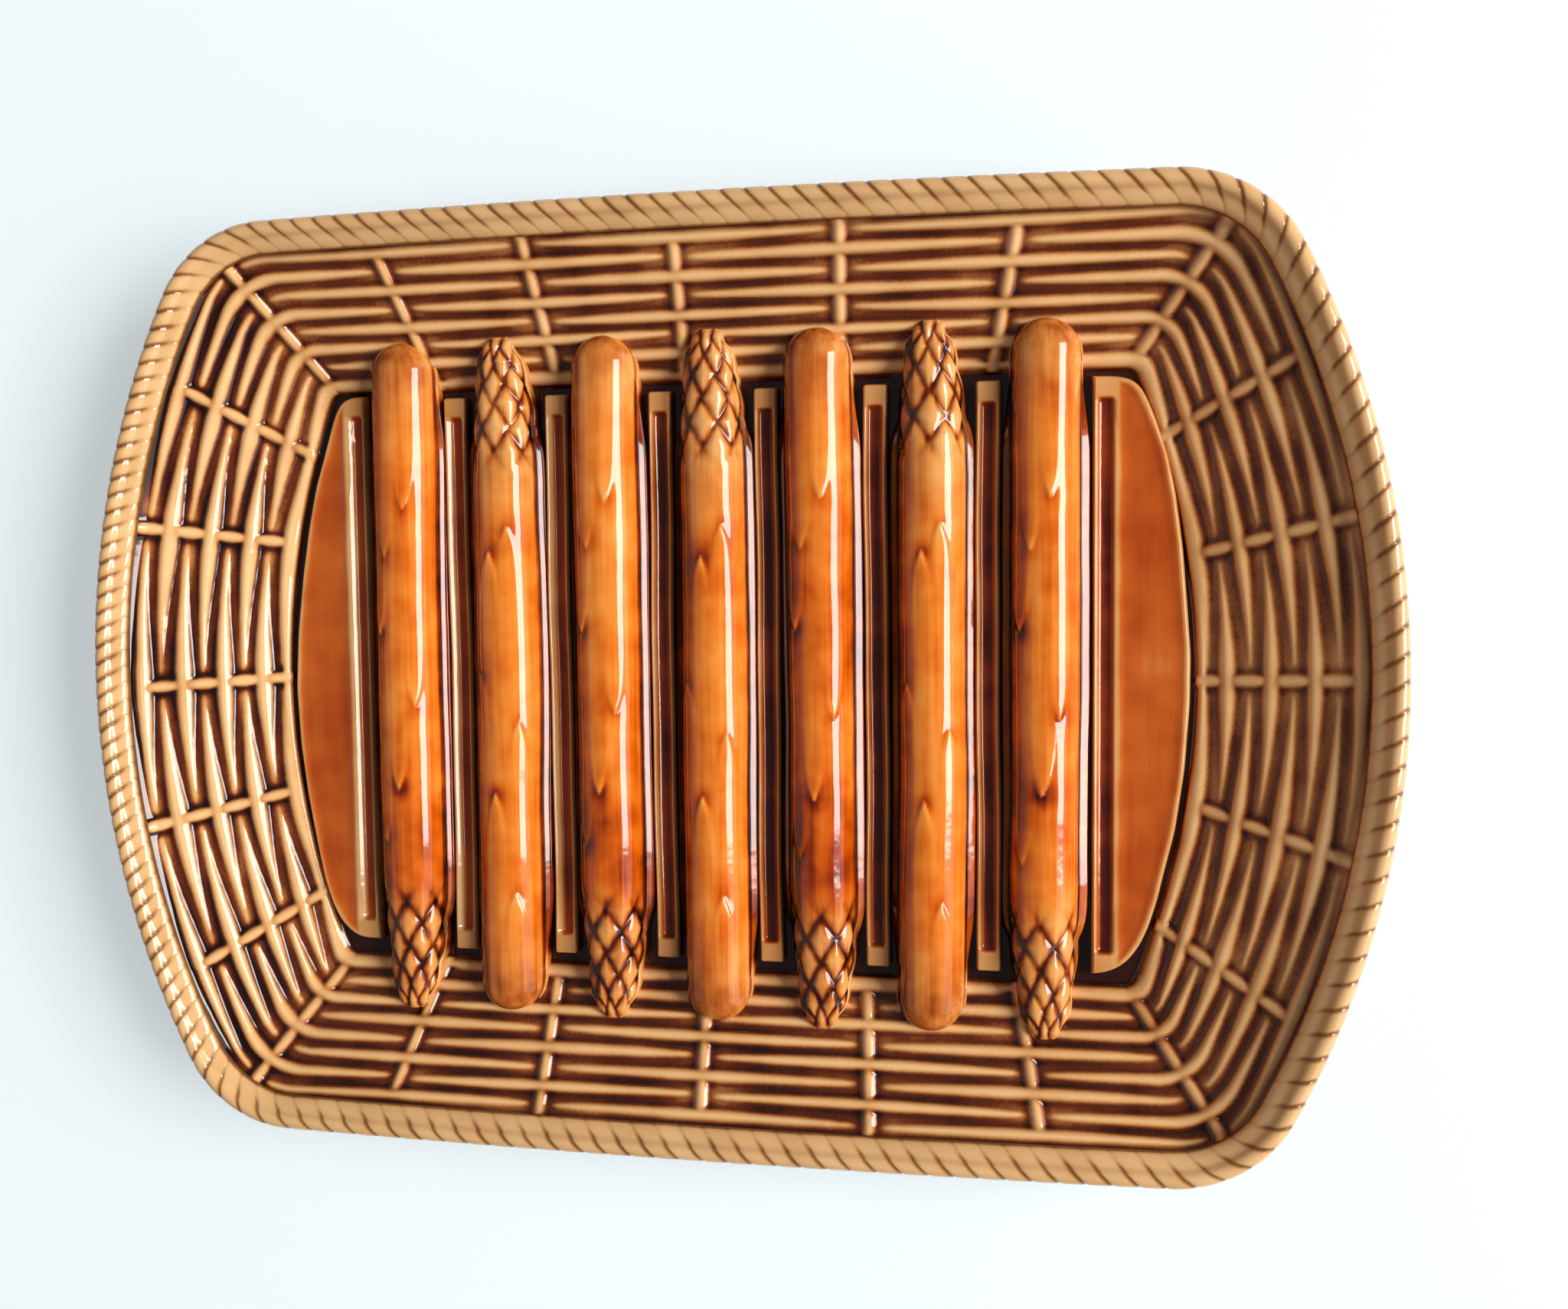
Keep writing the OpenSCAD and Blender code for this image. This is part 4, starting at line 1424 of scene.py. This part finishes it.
    @staticmethod
    def distance(points: np.ndarray, line: np.ndarray) -> np.ndarray:
        """Distance of points from a chain of straight segments.

        Args:
            points: Grid of points.
            line: Corners of the chain.

        Returns:
            The distance of each point from the nearest segment.
        """
        best = np.full(points.shape[:2], np.inf)
        for start, stop in zip(line[:-1], line[1:]):
            way = stop - start
            share = np.clip(((points - start) @ way) / max(way @ way, TINY), 0, 1)
            best = np.minimum(best, np.linalg.norm(points - start - share[..., None] * way, axis=2))
        return best


@dataclass(frozen=True)
class Lay:
    """How one spear is laid out, ring by ring from its point to its butt."""

    number: int
    # Distance of each ring from the point, its place along Y, and its radius
    along: np.ndarray
    y: np.ndarray
    radius: np.ndarray
    # Angle from the top in degrees, at each point
    angle: np.ndarray

    @property
    def points_near(self) -> bool:
        """Whether the spear points to the near side, as the odd ones do."""
        return self.number % 2 == 1


@dataclass
class Spears:
    """Seven asparagus spears side by side, with scaly heads and small leaves on their stalks."""

    form: PlateForm
    count: int = 7
    radius: float = 9.6
    length: float = 198.2
    butt_l: float = 9.5
    head_l: float = 38.0
    # Heights of the axis and the crown, and how far the point and the butt lift
    axis_z: float = 12.0
    crown_z: float = 21.6
    point_lift: Ramp = Ramp(0.0, 24.0, 3.6)
    butt_lift: float = 1.2
    butt_lift_l: float = 14.0
    # Section: its fullness, where 1 is half round, its points, how flat its angles are taken,
    # and the least height that they are taken at
    section_power: float = 0.94
    section_steps: int = 33
    angle_share: float = 0.98
    angle_least: float = 1e-6
    # Rings in the head, the stalk and the butt, and how much closer they are at the point
    ring_counts: tuple = (110, 330, 26)
    ring_power: float = 1.25
    # Bows of the whole spear, as height and length over 2 pi, where they start behind the
    # point, and swells of its girth
    bows: tuple = ((0.35, 61), (0.18, 23))
    bow_start: Ramp = Ramp(6, 30)
    swell: tuple = (0.012, 17)
    # Distance from the point and radius as a share of the full one, and how often the outline
    # is averaged
    tip_outline: tuple = (
        (0, 0.20), (0.5, 0.32), (1, 0.40), (2, 0.48), (4, 0.58), (6.3, 0.68), (10, 0.78),
        (13.5, 0.84), (20, 0.89), (27, 0.94), (34, 0.98), (42, 1))
    tip_blur: int = 6
    # The butt's round stops just short of a point
    butt_share: float = 0.9985
    # Where the head passes into the stalk, and where the scales start behind the very point
    head: Ramp = Ramp(30.0, 44.0)
    point: Ramp = Ramp(0.0, 1.2)
    # Lumps of the hand-modelled stalk: their lengths, and height for each length
    lumps: tuple = (9.0, 14.0, 23.0)
    lump_rise: float = 0.0045
    # Random phases of bows and lumps, about a full turn, and waves of the lumps round the stalk
    bow_phase: float = 6.0
    lump_phase: float = 6.3
    lump_turns: tuple = (1.0, 2.5)
    soften: tuple = (1, 1)

    # Scales: angle and least distance from one to the next round the head, rise and squareness
    scale_turn: float = 58.0
    scale_least: float = 5.2
    scale_rise: float = 0.95
    scale_power: float = 2.2
    # Columns of scales, and the distance from the spear's point to the middle of each row
    scales_round: int = 5
    scale_middles: tuple = (2.4, 7.2, 13.0, 19.4, 26.2)
    # Random numbers for rows, columns and kinds of shift, and most random spin of the pattern
    wild_scales: tuple = (6, 6, 3)
    scale_spin: float = 5.0
    # Distance over which the pattern runs on by one row, at the very point
    tip_pitch: float = 8.0
    # Most random shift of a scale across and along, and change of its width
    scale_shifts: tuple = (0.13, 0.07, 0.12)
    # Glaze in the valleys: depth, width, unevenness, and its patches by their size along and
    # round the head and their most random shift
    valley_more: float = 0.82
    valley: Ramp = Ramp(-0.12, 0.42)
    valley_uneven: float = 0.34
    patch_along: float = 2.3
    patch_round: float = 17.0
    patch_shift: float = 9.0
    # Pits where three scales meet
    pit_more: float = 0.55
    pit: Ramp = Ramp(0.08, 0.46)
    # Marks on the stalk under the last scales: depth, half width, half length, way down a row
    mark_more: float = 1.3
    mark_half_w: float = 1.3
    mark_half_l: float = 2.0
    mark_row: float = 0.42

    # Distance from the spear's point, and angle from the top, of each leaf's point
    odd_leaves: tuple = ((67, -5), (113.6, -40), (90, 27), (150, 12), (50, -34), (136, -24))
    even_leaves: tuple = ((62, -15), (131, -9), (55, 21), (98, -40), (160, 24), (112, 34))
    # The first leaves are large, the others this much smaller. Random shifts along and round
    large_leaves: int = 2
    small_leaf: float = 0.6
    leaf_shifts: tuple = (1.5, 3)
    # Leaf: rise, length over which it sinks back, half width, length to full width, and its edge
    leaf_lift: float = 0.6
    leaf_sink: float = 11.0
    leaf_half_w: float = 3.9
    leaf_point: float = 6.5
    leaf_edge: Ramp = Ramp(0.72, 1.08)
    # Notch beside a leaf's point: its depth, half width, half length and place
    notch_depth: float = 0.3
    notch_half_w: float = 3.0
    notch_half_l: float = 3.6
    notch_place: float = 0.8

    # Depth of the glaze: on the mean surface, by height under it and more so on the head, in
    # notches, in valleys and there more on spears that point near. How widely the mean is
    # taken, and how much thinner the glaze is on the head
    pool_level: float = 0.30
    pool_slope: float = 0.62
    pool_head: float = 0.10
    pool_notch: float = 0.26
    pool_valley: float = 0.32
    pool_valley_near: float = 0.03
    hollow_blur: tuple = (14, 10)
    head_thinner: float = 0.05
    # Painted shade down the flank on the side away from the light, by the share of the radius,
    # with glaze pooled along its foot too; on the lit side, glaze pooled along the very foot
    painted_shade_flank: Ramp = Ramp(0.30, 0.78, 0.28)
    painted_shade_and_pool_foot: Ramp = Ramp(0.80, 1.0, 0.52)
    lit_foot: Ramp = Ramp(0.965, 1.0, 0.45)
    # At the butt, from and to these distances from its end: less of the painted flank shade,
    # and more glaze all over
    butt_glaze: tuple = (16, 2)
    butt_less_shade: float = 0.45
    butt_more: float = 0.13
    # Dark pools of glaze along the spears: spear, middle along Y, length and strength
    stains: tuple = (
        (1, -54, 18, 0.20), (3, -50, 20, 0.26), (3, -8, 14, 0.08), (4, 34, 14, 0.10),
        (5, 18, 24, 0.17), (5, -48, 24, 0.30), (7, -30, 14, 0.10), (7, 22, 12, 0.07),
        (1, -84, 12, 0.06), (3, -86, 12, 0.07), (5, -88, 12, 0.09), (7, -86, 12, 0.05),
        (2, -86, 7, 0.12), (4, -88, 7, 0.10), (6, -88, 8, 0.12), (1, 86, 7, 0.08),
        (5, 86, 8, 0.10))
    # Paler firing of the heads, of spears that point away and near, and of the butts
    pale_far: Ramp = Ramp(26.0, 66.0)
    pale_near: Ramp = Ramp(25.0, 44.0, 0.92)
    pale_butt: float = 0.8
    pale_butt_glaze: tuple = (34, 4)

    # Foot of a stalk: a ledge of glaze pooled between it and the next land. Its height, its
    # bend up into the stalk and its toe, as distances from the stalk and up or down
    ledge_z: float = 3.9
    ledge_bend: tuple = ((0.1, 0.4), (0.33, 0.1), (0.45, 0.0))
    ledge_toe: tuple = ((0.0, 0.0), (0.1, 0.06))
    # Its run over the floor to the next land: distance and dip there, and its very end
    ledge_to: float = 2.5
    ledge_dip: float = 0.2
    ledge_end: tuple = (2.55, 0.2)
    # Its width and slope at the left and the right end of the plate. Depth of its glaze from the
    # stalk down on the lit side, paler where the window's reflection falls, a partly painted
    # highlight; and painted shade over the ledge on the shaded side, at the left and right end
    ledge_widths: tuple = (0.8, 1.85)
    ledge_slopes: tuple = (39.0, 29.0)
    lit_ledge_pool_and_highlight: tuple = (0.95, 0.90, 0.58, 0.56, 0.70, 0.76, 0.9)
    ledge_dark: tuple = (0.76, 0.94)
    ledge_darker: Ramp = Ramp(0.2, 0.6)
    # Beyond the lands the ledge narrows and its glaze thins, a little on the stalk's flanks too
    ledge_narrow: Ramp = Ramp(62.0, 84.0, 0.85)
    ledge_thin: Ramp = Ramp(80.0, 86.0, 0.60)
    flank_thin: float = 0.2
    flank_power: int = 8
    # How deep a stalk starts under the floor, and how far down it is closed
    sunk: float = 0.02
    back: float = 1.2

    def section(self) -> tuple[np.ndarray, np.ndarray]:
        """Upper half of a stalk's section, a little fuller than half round.

        Returns:
            Places across and up, as shares of the radius, from the right side over the top.
        """
        turn = np.linspace(0, math.pi / 2, self.section_steps)
        x, z = np.sin(turn) ** self.section_power, np.cos(turn) ** self.section_power
        return np.concatenate([x[::-1], -x[1:]]), np.concatenate([z[::-1], z[1:]])

    def lengthwise(self) -> np.ndarray:
        """Lays the rings out along a spear.

        Returns:
            Distance of each ring from the point.
        """
        head, stalk, butt = self.ring_counts
        stop = self.length - self.butt_l
        turn = np.linspace(0, math.pi / 2, butt)
        return np.concatenate([
            self.head_l * np.linspace(0, 1, head, endpoint=False) ** self.ring_power,
            np.linspace(self.head_l, stop, stalk, endpoint=False),
            self.length - self.butt_l * (1 - np.sin(turn)),
        ])

    def girth(self, along: np.ndarray) -> np.ndarray:
        """Radius along a spear.

        Args:
            along: Distance of each ring from the point.

        Returns:
            The radius of each ring, as a share of the full one.
        """
        places, shares = zip(*self.tip_outline)
        tip = np.interp(along, places, shares)[:, None]
        over = (along - (self.length - self.butt_l)) / self.butt_l
        butt = np.sqrt(1 - np.clip(over, 0, self.butt_share) ** 2)
        return blurred(tip, (self.tip_blur, 0), (False, False))[:, 0] * butt

    def scales(
        self, lay: Lay, angle: np.ndarray, wild: np.ndarray
    ) -> tuple[np.ndarray, np.ndarray]:
        """Heights of the scales of a head.

        Args:
            lay: How the spear is laid out.
            angle: Angle from the first column of scales in degrees, for each point.
            wild: Random shifts of the scales.

        Returns:
            Height over the valleys between the scales, and nearness to a valley.
        """
        along = lay.along
        rows = len(self.scale_middles)
        step = self.scale_middles[-1] - self.scale_middles[-2]
        # Behind the last row the pattern runs on evenly, to the rows that bound the stalk
        on = 20
        middles = np.array(self.scale_middles + (self.scale_middles[-1] + on * step,))
        level = np.interp(along, middles, 0.5 * np.append(np.arange(rows), rows + on - 1.0))
        tip = (along - middles[0]) / self.tip_pitch
        level = np.where(along < middles[0], tip, level)[:, None]
        pitch = math.radians(self.scale_turn) * lay.radius
        pitch = np.maximum(pitch, self.scale_least)[:, None]
        place = np.radians(angle) * lay.radius[:, None] / pitch
        nearest = second = third = stalk = np.full(angle.shape, np.inf)
        marks = np.zeros(angle.shape)
        across, down, wider = self.scale_shifts
        for n in range(rows + 3):
            for m in range(self.scales_round):
                column = m - self.scales_round // 2 + 0.5 * (n % 2)
                shift = wild[n % len(wild), m] * (n < rows)
                gap = np.abs(place - column - across * shift[0]) * (1 + wider * shift[2])
                gap += np.abs(level - 0.5 * n - down * shift[1])
                if n < rows:
                    third = np.minimum(third, np.maximum(gap, second))
                    second = np.minimum(second, np.maximum(gap, nearest))
                    nearest = np.minimum(nearest, gap)
                else:
                    stalk = np.minimum(stalk, gap)
                if n == rows + 1:
                    off = (place - column) * pitch / self.mark_half_w
                    far = (level - 0.5 * (rows - 1) - self.mark_row) * 2 * step / self.mark_half_l
                    marks = np.maximum(marks, np.exp(-(off**2) - far**2))
        third = np.minimum(third, np.maximum(stalk, second))
        second = np.minimum(second, np.maximum(stalk, nearest))
        nearest = np.minimum(nearest, stalk)
        inside = np.clip((second - nearest) / 2, 0, 0.5)
        height = self.scale_rise * (1 - (1 - 2 * inside) ** self.scale_power)
        shift_along, shift_round = self.patch_shift * wild[:2, 0, 0]
        patchy = np.sin(along[:, None] / self.patch_along + shift_along)
        patchy = patchy * np.cos(angle / self.patch_round + shift_round)
        valleys = self.valley_more * self.valley.left(inside) * (1 + self.valley_uneven * patchy)
        pits = self.pit_more * self.pit.left(third - nearest)
        return height, np.maximum(valleys + pits, self.mark_more * marks)

    def leaves(self, lay: Lay, shifts: np.ndarray) -> tuple[np.ndarray, np.ndarray]:
        """Heights of the leaves of a stalk.

        Args:
            lay: How the spear is laid out.
            shifts: Random shifts of the leaves.

        Returns:
            Height over the stalk, and depth of the notches beside the leaves' points.
        """
        height, notches = np.zeros(lay.angle.shape), np.zeros(lay.angle.shape)
        along_mm, round_deg = self.leaf_shifts
        leaves = self.odd_leaves if lay.points_near else self.even_leaves
        for n, (point, turn) in enumerate(leaves):
            place = (lay.along - point - shifts[n, 0] * along_mm)[:, None]
            off = np.radians(lay.angle - turn - shifts[n, 1] * round_deg) * self.radius
            size = 1.0 if n < self.large_leaves else self.small_leaf
            behind = np.maximum(place, 0)
            width = np.maximum(self.leaf_half_w * (1 - np.exp(-behind / self.leaf_point)), TINY)
            inside = self.leaf_edge.left(np.abs(off) / width) * (place > 0)
            lift = self.leaf_lift * np.exp(-behind / self.leaf_sink)
            height = np.maximum(height, size * lift * inside)
            far = ((place - self.notch_place) / self.notch_half_l) ** 2
            notch = np.exp(-((off / self.notch_half_w) ** 2) - far) * (1 - inside)
            notches = np.maximum(notches, size * notch)
        return height, notches

    def relief(
        self, lay: Lay, rng: np.random.Generator
    ) -> tuple[np.ndarray, np.ndarray, np.ndarray]:
        """Shapes the skin of one spear.

        Args:
            lay: How the spear is laid out.
            rng: The spear's random numbers.

        Returns:
            Height over the smooth spear, nearness to a valley, and depth of the notches.
        """
        along = lay.along[:, None]
        shifts = rng.uniform(-1, 1, self.wild_scales)
        spin = rng.uniform(-self.scale_spin, self.scale_spin)
        around = (lay.angle + spin) * (-1 if lay.points_near else 1)
        scale, valleys = self.scales(lay, around, shifts)
        relief = (scale - self.scale_rise) * self.point.at(along)
        leaf, notches = self.leaves(lay, rng.uniform(-1, 1, (len(self.odd_leaves), 2)))
        relief = relief + leaf - self.notch_depth * notches
        uneven = np.zeros(lay.angle.shape)
        for size in self.lumps:
            phase = rng.uniform(0, self.lump_phase, 2)
            turns = np.radians(lay.angle) * rng.uniform(*self.lump_turns) + phase[1]
            uneven += size * np.sin(along / size * 2 + phase[0]) * np.cos(turns)
        relief = relief + self.lump_rise * uneven * (1 - self.head.left(along))
        return blurred(relief, self.soften, (False, False)), valleys, notches

    def glaze(
        self, lay: Lay, relief: np.ndarray, valleys: np.ndarray, notches: np.ndarray
    ) -> np.ndarray:
        """Depth of the glaze over one spear, with painted shade down its flank away from the light.

        Args:
            lay: How the spear is laid out.
            relief: Height over the smooth spear.
            valleys: Nearness to a valley between scales.
            notches: Depth of the notches beside the leaves.

        Returns:
            The depth at each point.
        """
        head = self.head.left(lay.along)[:, None]
        deep = blurred(relief, self.hollow_blur, (False, False)) - relief
        pool = self.pool_level + (self.pool_slope + self.pool_head * head) * deep
        pool = pool + self.pool_notch * notches
        pool = pool + (self.pool_valley + self.pool_valley_near * lay.points_near) * valleys
        share_x = self.section()[0]
        # Painted shade down the flank away from the light, and glaze pooled along both feet
        shade = self.painted_shade_flank.at(-share_x) + self.painted_shade_and_pool_foot.at(-share_x)
        shade = shade + self.lit_foot.at(share_x)
        first, last = self.butt_glaze
        butt = ease(lay.along, self.length - first, self.length - last)[:, None]
        pool = pool + shade * (1 - self.butt_less_shade * butt) + self.butt_more * butt
        pool -= self.head_thinner * head
        for spear, stain_y, stain_l, strength in self.stains:
            if spear == lay.number:
                pool += strength * np.exp(-(((lay.y - stain_y) / stain_l) ** 2))[:, None]
        return pool

    def ledge(self, place: float) -> tuple:
        """Section of the ledge beside a stalk.

        Args:
            place: Place of the spear, from 0 at the left end to 1 at the right.

        Returns:
            Distance from the stalk and height over the ground of each point.
        """
        wide = mix(*self.ledge_widths, place)
        low = self.ledge_z - wide * math.tan(math.radians(mix(*self.ledge_slopes, place)))
        outer = self.ledge_bend[-1][0] + wide
        return (
            *((far, self.ledge_z + up) for far, up in self.ledge_bend),
            *((outer + far, low - down) for far, down in self.ledge_toe),
            (self.ledge_to, low - self.ledge_dip), self.ledge_end,
        )

    def foot(self, edge: np.ndarray, off: np.ndarray, y: np.ndarray, ledge: tuple) -> np.ndarray:
        """Carries one edge of a stalk down to the floor, over its ledge.

        Args:
            edge: Points of the edge.
            off: Distance of each point from the stalk's middle line, along X.
            y: Place along Y of each ring.
            ledge: Distance from the stalk and height over the ground of each point.

        Returns:
            Points of the foot, by ring, from the stalk down.
        """
        flow = np.gradient(edge[:, :2], axis=0)
        out = np.stack([flow[:, 1], -flow[:, 0]], 1)
        out /= np.maximum(np.linalg.norm(out, axis=1, keepdims=True), TINY)
        out *= np.where(out[:, 0] * off < 0, -1, 1)[:, None]
        ground = np.maximum(self.form.floor_z, [self.form.wall_z(v) for v in y]) - self.sunk
        top = np.maximum(edge[:, 2], self.form.floor_z - self.sunk + ledge[0][1])
        narrow = (1 - self.ledge_narrow.at(np.abs(y)))[:, None]
        return np.stack([
            np.column_stack([edge[:, :2] + out * far * narrow, np.minimum(ground + up, top)])
            for far, up in ledge
        ], 1)

    def rings(self, number: int) -> tuple[np.ndarray, np.ndarray, np.ndarray, int]:
        """Shapes one spear.

        Args:
            number: The spear's number, from the left.

        Returns:
            Rings from the point to the butt, their glaze with its painted shade, the distance of
            each ring from the point, and how many points of a ring lie on the visible side.
        """
        rng = np.random.default_rng(SPEAR_SEED + number)
        along = self.lengthwise()
        share_x, share_z = self.section()
        radius = self.radius * self.girth(along)
        lift = self.butt_lift * ease(along, self.length - self.butt_lift_l, self.length)
        axis = self.axis_z + self.point_lift.left(along) + lift
        waves = [
            high * np.sin(along / long + rng.uniform(0, self.bow_phase))
            for high, long in (*self.bows, self.swell)
        ]
        bow, wobble = sum(waves[:-1]) * self.bow_start.at(along), 1 + waves[-1]
        middle = (number - (self.count + 1) / 2) * self.form.spear_pitch
        way = -1 if number % 2 else 1
        y = way * (self.length / 2 - along)
        up = (self.crown_z - axis)[:, None] * (radius / self.radius)[:, None]
        x = radius[:, None] * wobble[:, None] * share_x[None, :]
        z = axis[:, None] + up * share_z[None, :]
        surface = np.stack([x, np.repeat(y[:, None], x.shape[1], 1), z], -1)
        normals = grid_normals(surface, (False, False)) * -way
        height = np.maximum(z - axis[:, None], self.angle_least) * self.angle_share
        lay = Lay(number, along, y, radius, np.degrees(np.arctan2(x, height)))
        relief, valleys, notches = self.relief(lay, rng)
        pool = self.glaze(lay, relief, valleys, notches)
        surface = surface + normals * relief[..., None]
        surface[..., 0] += bow[:, None] + middle
        place = (number - 1) / (self.count - 1)
        ledge = self.ledge(place)
        first, last = (
            self.foot(edge, edge[:, 0] - middle - bow, y, ledge)
            for edge in (surface[:, 0], surface[:, -1])
        )
        deep = np.stack([last[:, -1], first[:, -1]], 1)
        deep[..., 2] -= self.back
        front = np.concatenate([first[:, ::-1], surface, last], 1)
        # Lit ledge: glaze, paler where the window reflects as a partly painted highlight
        bright = np.array([self.lit_ledge_pool_and_highlight[::-1]])
        # Painted shade over the ledge on the side away from the light
        dark = np.full((1, len(ledge)), mix(*self.ledge_dark, self.ledge_darker.at(place)))
        thin = self.ledge_thin.at(np.abs(y))[:, None]
        pool = pool - self.flank_thin * thin * np.abs(share_x) ** self.flank_power
        pool = np.concatenate([bright - thin, pool, dark - thin], 1)
        return *closed(front, deep, pool), along, front.shape[1]

    def build(self) -> None:
        """Makes the stalks, and the heads as one piece."""
        stalk, scales = SPEAR_GLAZE.material(), SCALE_GLAZE.material()
        first, last = self.pale_butt_glaze
        heads = []
        for number in range(1, self.count + 1):
            rings, pool, along, front = self.rings(number)
            normals = grid_normals(rings[:, :front], (False, False))
            away = number % 2 == 0
            if away:
                rings = np.concatenate([rings[:, front - 1 :: -1], rings[:, : front - 1 : -1]], 1)
                pool = np.concatenate([pool[:, front - 1 :: -1], pool[:, : front - 1 : -1]], 1)
                normals = -normals[:, ::-1]
            pale = (self.pale_far if away else self.pale_near).left(along)
            butt = ease(along, self.length - first, self.length - last)
            pale = np.maximum(pale, self.pale_butt * butt)
            tone = np.repeat(pale[:, None], rings.shape[1], 1)
            cut = int(np.searchsorted(along, self.head_l))
            head, rest = (
                Skin(rings[part], pool[part], front, normals=normals[part], tone=tone[part])
                for part in (slice(None, cut + 1), slice(cut, None))
            )
            heads.append(head)
            nodes = (f"spear_{number}", "stalk_leaves")
            make_piece(f"spear_{number}", [rest], stalk, nodes)
        make_piece("tip_scales", heads, scales, ("tip_scales",))


# Room, light and camera


@dataclass(frozen=True)
class Studio:
    """Pale floor, soft lamps and the camera over the plate."""

    # Eye of the camera, in millimetres, and the directions of its frame
    eye: tuple[float, float, float] = (104.236, 35.594, 434.057)
    right: tuple[float, float, float] = (0.980877, -0.010695, -0.194334)
    up: tuple[float, float, float] = (-0.002265, 0.997794, -0.066346)
    back: tuple[float, float, float] = (0.194615, 0.065517, 0.978689)
    focal: float = 34.73
    sensor_w: float = 36.0
    near_clip: float = 10.0
    # Half size of the floor, and how much paler than it is lit it looks to the camera
    floor_half: float = 4500.0
    floor_lift: float = 0.5
    # Matt wall paint scatters light widely
    floor_roughness: float = 0.6
    # Lamps: name, middle and size in millimetres, power in watts, and colour
    lamps: tuple = (
        ("window", (2940, 315, 2100), (1500, 2300), 147.0, "#FFFDFA"),
        ("right_glow", (3100, -500, 1500), (2800, 5000), 60.0, "#FFFAF6"),
        ("left_glow", (-2700, 0, 1440), (2400, 5000), 13.0, "#FFE6D0"),
    )
    room_glow: float = 0.17

    def camera(self) -> None:
        """Adds the camera."""
        data = bpy.data.cameras.new("camera")
        data.lens = self.focal
        data.sensor_width = self.sensor_w
        data.sensor_fit = "HORIZONTAL"
        data.clip_start = self.near_clip * MM
        made = bpy.data.objects.new("camera", data)
        turn = Matrix((self.right, self.up, self.back)).transposed().to_4x4()
        made.matrix_world = Matrix.Translation([v * MM for v in self.eye]) @ turn
        bpy.context.scene.collection.objects.link(made)
        bpy.context.scene.camera = made

    def floor(self) -> None:
        """Adds the floor, painted a cool matt white."""
        half = self.floor_half * MM
        mesh = bpy.data.meshes.new("floor")
        corners = [(-half, -half, 0), (half, -half, 0), (half, half, 0), (-half, half, 0)]
        mesh.from_pydata(corners, [], [(0, 1, 2, 3)])
        made = bpy.data.objects.new("floor", mesh)
        bpy.context.scene.collection.objects.link(made)
        paint = bpy.data.materials.new("cool_white_paint")
        paint.use_nodes = True
        tree = paint.node_tree
        shader = tree.nodes["Principled BSDF"]
        shader.inputs["Base Color"].default_value = linear("#C4CED2")
        shader.inputs["Roughness"].default_value = self.floor_roughness
        ray = add_node(tree, "ShaderNodeLightPath")
        seen = ray.outputs["Is Camera Ray"]
        for kind in ("Is Glossy Ray", "Is Transmission Ray"):
            rays = {0: seen, 1: ray.outputs[kind]}
            seen = add_node(tree, "ShaderNodeMath", rays, operation="MAXIMUM").outputs[0]
        part = {0: seen, 1: self.floor_lift}
        lift = add_node(tree, "ShaderNodeMath", part, operation="MULTIPLY").outputs[0]
        paler = {"Color": linear("#E8F4F8"), "Strength": lift}
        glow = add_node(tree, "ShaderNodeEmission", paler).outputs[0]
        both = add_node(tree, "ShaderNodeAddShader", {0: shader.outputs[0], 1: glow}).outputs[0]
        tree.links.new(both, tree.nodes["Material Output"].inputs["Surface"])
        mesh.materials.append(paint)

    def lamp(
        self, name: str, place: tuple[float, float, float], size: tuple[float, float],
        power: float, colour: str,
    ) -> None:
        """Adds a soft lamp that faces the plate.

        Args:
            name: Its name.
            place: Its middle, in millimetres.
            size: Its width and length, in millimetres.
            power: Its power in watts.
            colour: Its colour.
        """
        data = bpy.data.lights.new(name, "AREA")
        data.shape = "RECTANGLE"
        data.size, data.size_y = size[0] * MM, size[1] * MM
        data.energy = power
        data.color = linear(colour)[:3]
        made = bpy.data.objects.new(name, data)
        back = np.array(place) / np.linalg.norm(place)
        side = np.cross((0.0, 1.0, 0.0), back)
        side /= np.linalg.norm(side)
        up = np.cross(back, side)
        turn = Matrix((side, up, back)).transposed().to_4x4()
        made.matrix_world = Matrix.Translation([v * MM for v in place]) @ turn
        bpy.context.scene.collection.objects.link(made)

    def light(self) -> None:
        """Adds the lamps and the pale room."""
        for lamp in self.lamps:
            self.lamp(*lamp)
        world = bpy.data.worlds.new("pale_room")
        bpy.context.scene.world = world
        world.use_nodes = True
        ground = world.node_tree.nodes["Background"]
        ground.inputs["Color"].default_value = linear("#F1F0F3")
        ground.inputs["Strength"].default_value = self.room_glow


def main() -> None:
    """Builds the room and the plate, piece by piece."""
    logging.basicConfig(level=logging.INFO, format="%(name)s: %(message)s")
    bpy.context.scene.view_settings.view_transform = "Standard"
    studio = Studio()
    studio.camera()
    studio.floor()
    studio.light()
    form = PlateForm()
    for part in (DishBody(form), RopeBorder(form), WovenWall(form), WellLands(form), Spears(form)):
        log.info("building %s", type(part).__name__)
        part.build()


if __name__ == "__main__":
    main()
